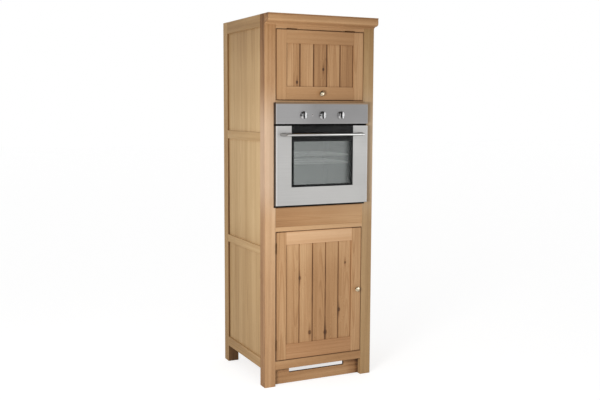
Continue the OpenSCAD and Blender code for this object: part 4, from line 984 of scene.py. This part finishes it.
# %% [markdown]
# ## Pilot lamp
#
# The lamp is a domed amber lens in a bright ring. Both are turned, and the lens takes a
# little light through it.

# %% Pilot lamp
AMBER, amber_surface, place = new_material("amber_lens")
cells = flow(place.tree, "ShaderNodeTexVoronoi", {"Vector": place, "Scale": 900.0})
feed(amber_surface, {"Base Color": colours(cells, [(0.0, (0.13, 0.07, 0.05)),
                                                   (0.7, (0.05, 0.025, 0.02))]),
                     "Roughness": 0.12, "Transmission Weight": 0.25})
LENS_R, DOME_FOOT, DOME_H = 0.004, 0.0008, 0.0012
lens = [(0, -0.010), (LENS_R, -0.010), (LENS_R, DOME_FOOT)]
lens += [(LENS_R * math.cos(a), DOME_FOOT + DOME_H * math.sin(a))
         for a in degrees(10, 90, 16)] + [(0, DOME_FOOT + DOME_H)]
rim = [(0.0041, 0), (0.0055, 0), (0.0055, 0.0006), (0.0051, 0.0010), (0.0041, 0.0010),
       (0.0041, 0)]
lamp = centre("oven_pilot_lamp")
lamp_place = facing_front(lamp.x, OVEN_FACE, lamp.z)
finished("pilot_lens", turned(lens, "pilot_lens", lamp_place, 32), AMBER, "housing",
         "lamp_lens", "oven_pilot_lamp")
finished("pilot_rim", turned(rim, "pilot_rim", lamp_place, 32), BAR_STEEL, "housing",
         "control_steel")
print("pilot lamp at", round(lamp.x, 4), round(lamp.z, 4))

# %% [markdown]
# ## Geometry Nodes for what repeats
#
# Screws, printed dots and rack wires are one small shape many times over. Geometry Nodes put a
# shape on every point of a list, and its sizes stay named inputs of the tree. The result is
# made real, taken off as a plain mesh and given to the body that carries it.

# %% Helpers for Geometry Nodes
def geometry_tree(name, sizes):
    """A tree with a geometry input, named sizes and a geometry output."""
    tree = bpy.data.node_groups.new(name, "GeometryNodeTree")
    tree.is_modifier = True
    tree.interface.new_socket("Geometry", in_out="INPUT", socket_type="NodeSocketGeometry")
    for label, start in sizes.items():
        kind = "NodeSocketInt" if isinstance(start, int) else "NodeSocketFloat"
        tree.interface.new_socket(label, in_out="INPUT", socket_type=kind).default_value = start
    tree.interface.new_socket("Finish", in_out="INPUT", socket_type="NodeSocketMaterial")
    tree.interface.new_socket("Geometry", in_out="OUTPUT", socket_type="NodeSocketGeometry")
    return tree, given_to(tree)


def end_tree(shape, given, **turn):
    """Every tree ends the same way: the shape on each point, made real, with one finish."""
    tree = shape.tree
    placed = flow(tree, "GeometryNodeInstanceOnPoints",
                  {"Points": given["Geometry"], "Instance": shape, **turn})
    real = flow(tree, "GeometryNodeRealizeInstances", {"Geometry": placed})
    dressed = flow(tree, "GeometryNodeSetMaterial", {"Geometry": real,
                                                     "Material": given["Finish"]})
    node(tree, "NodeGroupOutput", {"Geometry": dressed})
    return tree


def grow(tree, name, places, aim, inputs):
    """Runs a tree on points that look along one aim, and returns the plain mesh."""
    base = bpy.data.meshes.new(name + "_points")
    base.from_pydata(places, [], [])
    for point in base.attributes.new("aim", "FLOAT_VECTOR", "POINT").data:
        point.vector = aim
    holder = bpy.data.objects.new(name, base)
    scene.collection.objects.link(holder)
    modifier = holder.modifiers.new(name, "NODES")
    modifier.node_group = tree
    for item in tree.interface.items_tree:
        if item.in_out == "INPUT" and item.name in inputs:
            modifier[item.identifier] = inputs[item.name]
    graph = bpy.context.evaluated_depsgraph_get()
    mesh = bpy.data.meshes.new_from_object(holder.evaluated_get(graph))
    bpy.data.objects.remove(holder)
    mesh.name = name
    return mesh


print("geometry helpers ready")

# %% [markdown]
# ### Screws
#
# A screw head is the upper half of a flattened ball with a cross cut into it. Flat heads sink
# into a hinge leaf and pan heads stand on a plate; the same tree makes both, because only the
# height of the ball changes.

# %% The screw tree
def build_screw_tree():
    tree, given = geometry_tree("screw_heads", {"Head Radius": 0.0035, "Head Height": 0.0016,
                                                "Slot Width": 0.0009})
    radius, height, width = (given[label] for label in ("Head Radius", "Head Height",
                                                        "Slot Width"))
    ball = flow(tree, "GeometryNodeMeshUVSphere", {"Segments": 16, "Rings": 8, "Radius": 1.0})
    head = flow(tree, "GeometryNodeTransform", {"Geometry": ball,
                                                "Scale": joined(tree, radius, radius, height)})
    long, deep = radius * 1.2, height * 1.2
    for sides in ((long, width, deep), (width, long, deep)):
        cut = flow(tree, "GeometryNodeMeshCube", {"Size": joined(tree, *sides)})
        cut = flow(tree, "GeometryNodeTransform", {"Geometry": cut,
                                                   "Translation": joined(tree, z=height)})
        head = flow(tree, "GeometryNodeMeshBoolean", {0: head, 1: cut}, operation="DIFFERENCE")
    aim = flow(tree, "GeometryNodeInputNamedAttribute", {"Name": "aim"},
               data_type="FLOAT_VECTOR")
    turn = flow(tree, "FunctionNodeAlignRotationToVector", {"Vector": aim}, axis="Z")
    return end_tree(head, given, Rotation=turn)


SCREWS = build_screw_tree()
print("screw tree:", len(SCREWS.nodes), "nodes")

# %% Where the screws go
flange_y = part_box("oven_front_frame")[0].y
strike_low, strike_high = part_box("door_strike_plate")
plate_low, plate_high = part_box("strut_frame_brackets")
flange_x = (OPENING_HALF + oven_high.x) / 2
plate_x, plate_y = abs(plate_low.x) - 0.002, (plate_low.y + plate_high.y) / 2
SCREW_SETS = [
    ("flange_screws", "housing", 0.0036, 0.0016, NICKEL, "satin_nickel", (0, -1, 0),
     [(s * flange_x, flange_y, z) for s in (-1, 1)
      for z in (oven_low.z + 0.060, oven_high.z - 0.030)]),
    ("strike_screws", "door", 0.0028, 0.0010, ZINC, "zinc_steel", (0, 1, 0),
     [((strike_low.x + strike_high.x) / 2, strike_high.y, z)
      for z in (strike_low.z + 0.007, strike_high.z - 0.007)])]
for side, word in ((-1, "left"), (1, "right")):
    SCREW_SETS.append(("strut_plate_screws_" + word, "housing", 0.0034, 0.0015, ZINC,
                       "zinc_steel", (-side, 0, 0),
                       [(side * plate_x, plate_y, z)
                        for z in (plate_low.z + 0.006, plate_high.z - 0.006)]))
for name, body, radius, height, finish, slot, aim, places in SCREW_SETS:
    mesh = grow(SCREWS, name, places, aim,
                {"Finish": finish, "Head Radius": radius, "Head Height": height,
                 "Slot Width": radius * 0.26})
    finished(name, mesh, finish, body, slot, angle=30)
    print(name, len(places), "screws,", len(mesh.polygons), "faces")

# %% [markdown]
# ### Printed marks round the controls
#
# The panel has a ring of printed dots round each control, which show the settings. A tree
# lays one arc of dots and repeats it on each control's centre. The dots are ink, a few
# hundredths of a millimetre high.

# %% Marks round the controls
def build_dots_tree():
    tree, given = geometry_tree("dial_dots", {"Dial Radius": 0.0285, "Dots": 11,
                                              "Dot Radius": 0.0008, "Sweep": 5.24})
    arc = flow(tree, "GeometryNodeCurveArc",
               {"Resolution": given["Dots"], "Radius": given["Dial Radius"],
                "Start Angle": math.pi / 2 - given["Sweep"] * 0.5,
                "Sweep Angle": given["Sweep"]}, "Curve")
    spots = flow(tree, "GeometryNodeCurveToPoints", {"Curve": arc}, mode="EVALUATED")
    disc = flow(tree, "GeometryNodeMeshCylinder",
                {"Vertices": 10, "Radius": given["Dot Radius"], "Depth": 0.00006})
    dial = flow(tree, "GeometryNodeInstanceOnPoints", {"Points": spots, "Instance": disc})
    return end_tree(flow(tree, "GeometryNodeTransform",
                         {"Geometry": dial, "Rotation": (math.radians(90), 0, 0)}), given)


INK = dark_finish("panel_ink", linear(60, 60, 64), 0.6)
INK_LIFT = 0.00003
centres = [(knob.x, OVEN_FACE - INK_LIFT, knob.z)
           for knob in (centre("oven_knob_" + side) for side in SIDES)]
dots = grow(build_dots_tree(), "dial_dots", centres, (0, -1, 0), {"Finish": INK})
finished("dial_dots", dots, INK, "housing", "black_plastic", smooth=False)
print("printed dots:", len(dots.polygons), "faces")

# %% [markdown]
# ### Oven racks
#
# A rack is a frame of thick wire with thin wires across it. The frame is a rounded rectangle
# swept with a circle, and the thin wires are one wire repeated along a line. Both come from
# the same few sizes, so they always meet.

# %% The rack tree
def build_rack_tree():
    tree, given = geometry_tree("oven_rack", {"Width": 0.453, "Depth": 0.384, "Wires": 12,
                                              "Frame Radius": 0.003, "Wire Radius": 0.0016})
    width, depth, thick = given["Width"], given["Depth"], given["Frame Radius"]

    def swept(curve, radius, sides):
        ring = flow(tree, "GeometryNodeCurvePrimitiveCircle", {"Resolution": sides,
                                                               "Radius": radius})
        return flow(tree, "GeometryNodeCurveToMesh", {"Curve": curve, "Profile Curve": ring,
                                                      "Fill Caps": True})

    def line(start, end):
        return flow(tree, "GeometryNodeCurvePrimitiveLine", {"Start": joined(tree, *start),
                                                             "End": joined(tree, *end)})

    edge = flow(tree, "GeometryNodeCurvePrimitiveQuadrilateral", {"Width": width,
                                                                  "Height": depth})
    rounded = flow(tree, "GeometryNodeFilletCurve", {"Curve": edge, "Radius": 0.012,
                                                     "Count": 6}, mode="POLY")
    reach, lift = depth * 0.5 - 0.001, thick - 0.0002
    wire = swept(line((0, reach * -1.0, lift), (0, reach, lift)), given["Wire Radius"], 8)
    pitch = width / (given["Wires"] + 1.0)
    row = flow(tree, "GeometryNodeMeshLine",
               {"Count": given["Wires"], "Offset": joined(tree, pitch),
                "Start Location": joined(tree, width * -0.5 + pitch)})
    wires = flow(tree, "GeometryNodeInstanceOnPoints", {"Points": row, "Instance": wire})
    spine = swept(line((width * -0.5,), (width * 0.5,)), thick - 0.0005, 10)
    rack = node(tree, "GeometryNodeJoinGeometry")
    for part in (swept(rounded, thick, 12), wires, spine):
        tree.links.new(part.socket, rack.inputs[0])
    return end_tree(Flow(rack.outputs[0]), given)


RACK = build_rack_tree()
FRAME_R = 0.003
for level in ("lower", "upper"):
    low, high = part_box("oven_rack_" + level)
    place = ((low.x + high.x) / 2, (low.y + high.y) / 2, low.z + FRAME_R)
    name = "wire_rack_" + level
    mesh = grow(RACK, name, [place], (0, 0, 1),
                {"Finish": WIRE, "Width": high.x - low.x - 2 * FRAME_R,
                 "Depth": high.y - low.y - 2 * FRAME_R})
    finished(name, mesh, WIRE, "rack_" + level, "chrome_wire", "oven_rack_" + level)
    print(name, "at", [round(c, 4) for c in place], len(mesh.polygons), "faces")

# %% [markdown]
# ## Floor, room and light
#
# The photograph stands on plain white. The floor is pale, keeps the soft shadow and is lifted
# to white for the camera alone. The room is white for the camera, for reflections and through
# glass, and gives the wood a quieter light than that. A soft lamp at the left does the
# modelling and has no part in reflections. A large one at the right does only reflections: it
# gives the brushed steel its sheen and leaves the wood alone.

# %% Floor
def stage_sheet(name, material, place):
    """A flat sheet that belongs to the room and not to the unit."""
    work = bmesh.new()
    bmesh.ops.create_grid(work, x_segments=1, y_segments=1, size=1)
    sheet = bpy.data.objects.new(name, to_mesh(work, name, place, solid=False))
    sheet.data.materials.append(material)
    scene.collection.objects.link(sheet)
    return sheet


FLOOR_HALF, SHOWN_GREY, FLOOR_GLOW = 30, 0.45, 0.72
PALE, pale_surface, place = new_material("pale_floor")
seen = flow(place.tree, "ShaderNodeLightPath", output="Is Camera Ray")
mottled = colours(noise(place, 2.0), [(0.0, (0.79, 0.79, 0.79)), (1.0, (0.82, 0.82, 0.82))])
feed(pale_surface, {"Base Color": mixed(seen, mottled, (SHOWN_GREY,) * 3), "Roughness": 0.9,
                    "Specular IOR Level": 0.1, "Emission Color": (1, 1, 1, 1),
                    "Emission Strength": seen * FLOOR_GLOW})
floor = stage_sheet("floor", PALE, Matrix.Diagonal((FLOOR_HALF, FLOOR_HALF, 1, 1)))
print("floor:", [round(d, 1) for d in floor.dimensions])

# %% Room and lamps
ROOM_LIGHT = 0.55  # how much of the room's white the wood gets
world = bpy.data.worlds.new("white_room")
scene.world = world
world.use_nodes = True
sky = world.node_tree
path = node(sky, "ShaderNodeLightPath").outputs
to_camera, glossy, through = (Flow(path["Is " + ray + " Ray"])
                              for ray in ("Camera", "Glossy", "Transmission"))
plain = calc("MAXIMUM", calc("MAXIMUM", to_camera, glossy), through)
feed(sky.nodes["Background"], {"Color": (1, 1, 1, 1),
                               "Strength": plain * (1.0 - ROOM_LIGHT) + ROOM_LIGHT})


def lamp_at(name, place, aim, size, watts, *unseen_by):
    """A round lamp that some kinds of ray don't see."""
    light = bpy.data.lights.new(name, "AREA")
    light.shape, light.size, light.energy = "DISK", size, watts
    lamp = bpy.data.objects.new(name, light)
    lamp.location = place
    lamp.rotation_euler = (Vector(aim) - Vector(place)).to_track_quat("-Z", "Y").to_euler()
    scene.collection.objects.link(lamp)
    hide_from(lamp, *unseen_by)


def hide_from(thing, *rays):
    for ray in rays:
        setattr(thing, "visible_" + ray, False)


lamp_at("key", (-2.0, -2.1, 1.3), (-0.1, -0.2, 1.25), 0.9, 50, "camera", "glossy")
lamp_at("shine", (2.6, -3.0, 0.8), (0.0, -0.3, 1.3), 2.8, 21, "camera", "diffuse")
scene.view_settings.view_transform = "Standard"

# %% [markdown]
# ## Black cards for the metal
#
# Bright metal in a white room has no shape. A photographer stands black cards round it: then
# every metal face that looks to the left or up goes dark, as the knobs and the brackets do in
# the photograph. The cards are only there for reflections.

# %% Cards
BLACK, black_surface, _ = new_material("black_card")
feed(black_surface, {"Base Color": (0.01, 0.01, 0.01, 1)})
on_edge = Matrix.Rotation(math.radians(90), 4, "Y")
for name, middle, turn, half_width, half_height in (
        ("left_card", (-2.6, -1.4, 1.2), on_edge, 1.8, 5.6),
        ("top_card", (0.5, -1.5, 2.95), Matrix(), 2.7, 1.8)):
    card = stage_sheet(name, BLACK, Matrix.Translation(middle) @ turn
                       @ Matrix.Diagonal((half_width, half_height, 1, 1)))
    hide_from(card, "camera", "diffuse", "transmission", "volume_scatter", "shadow")
    print(name, "is seen by reflections only")
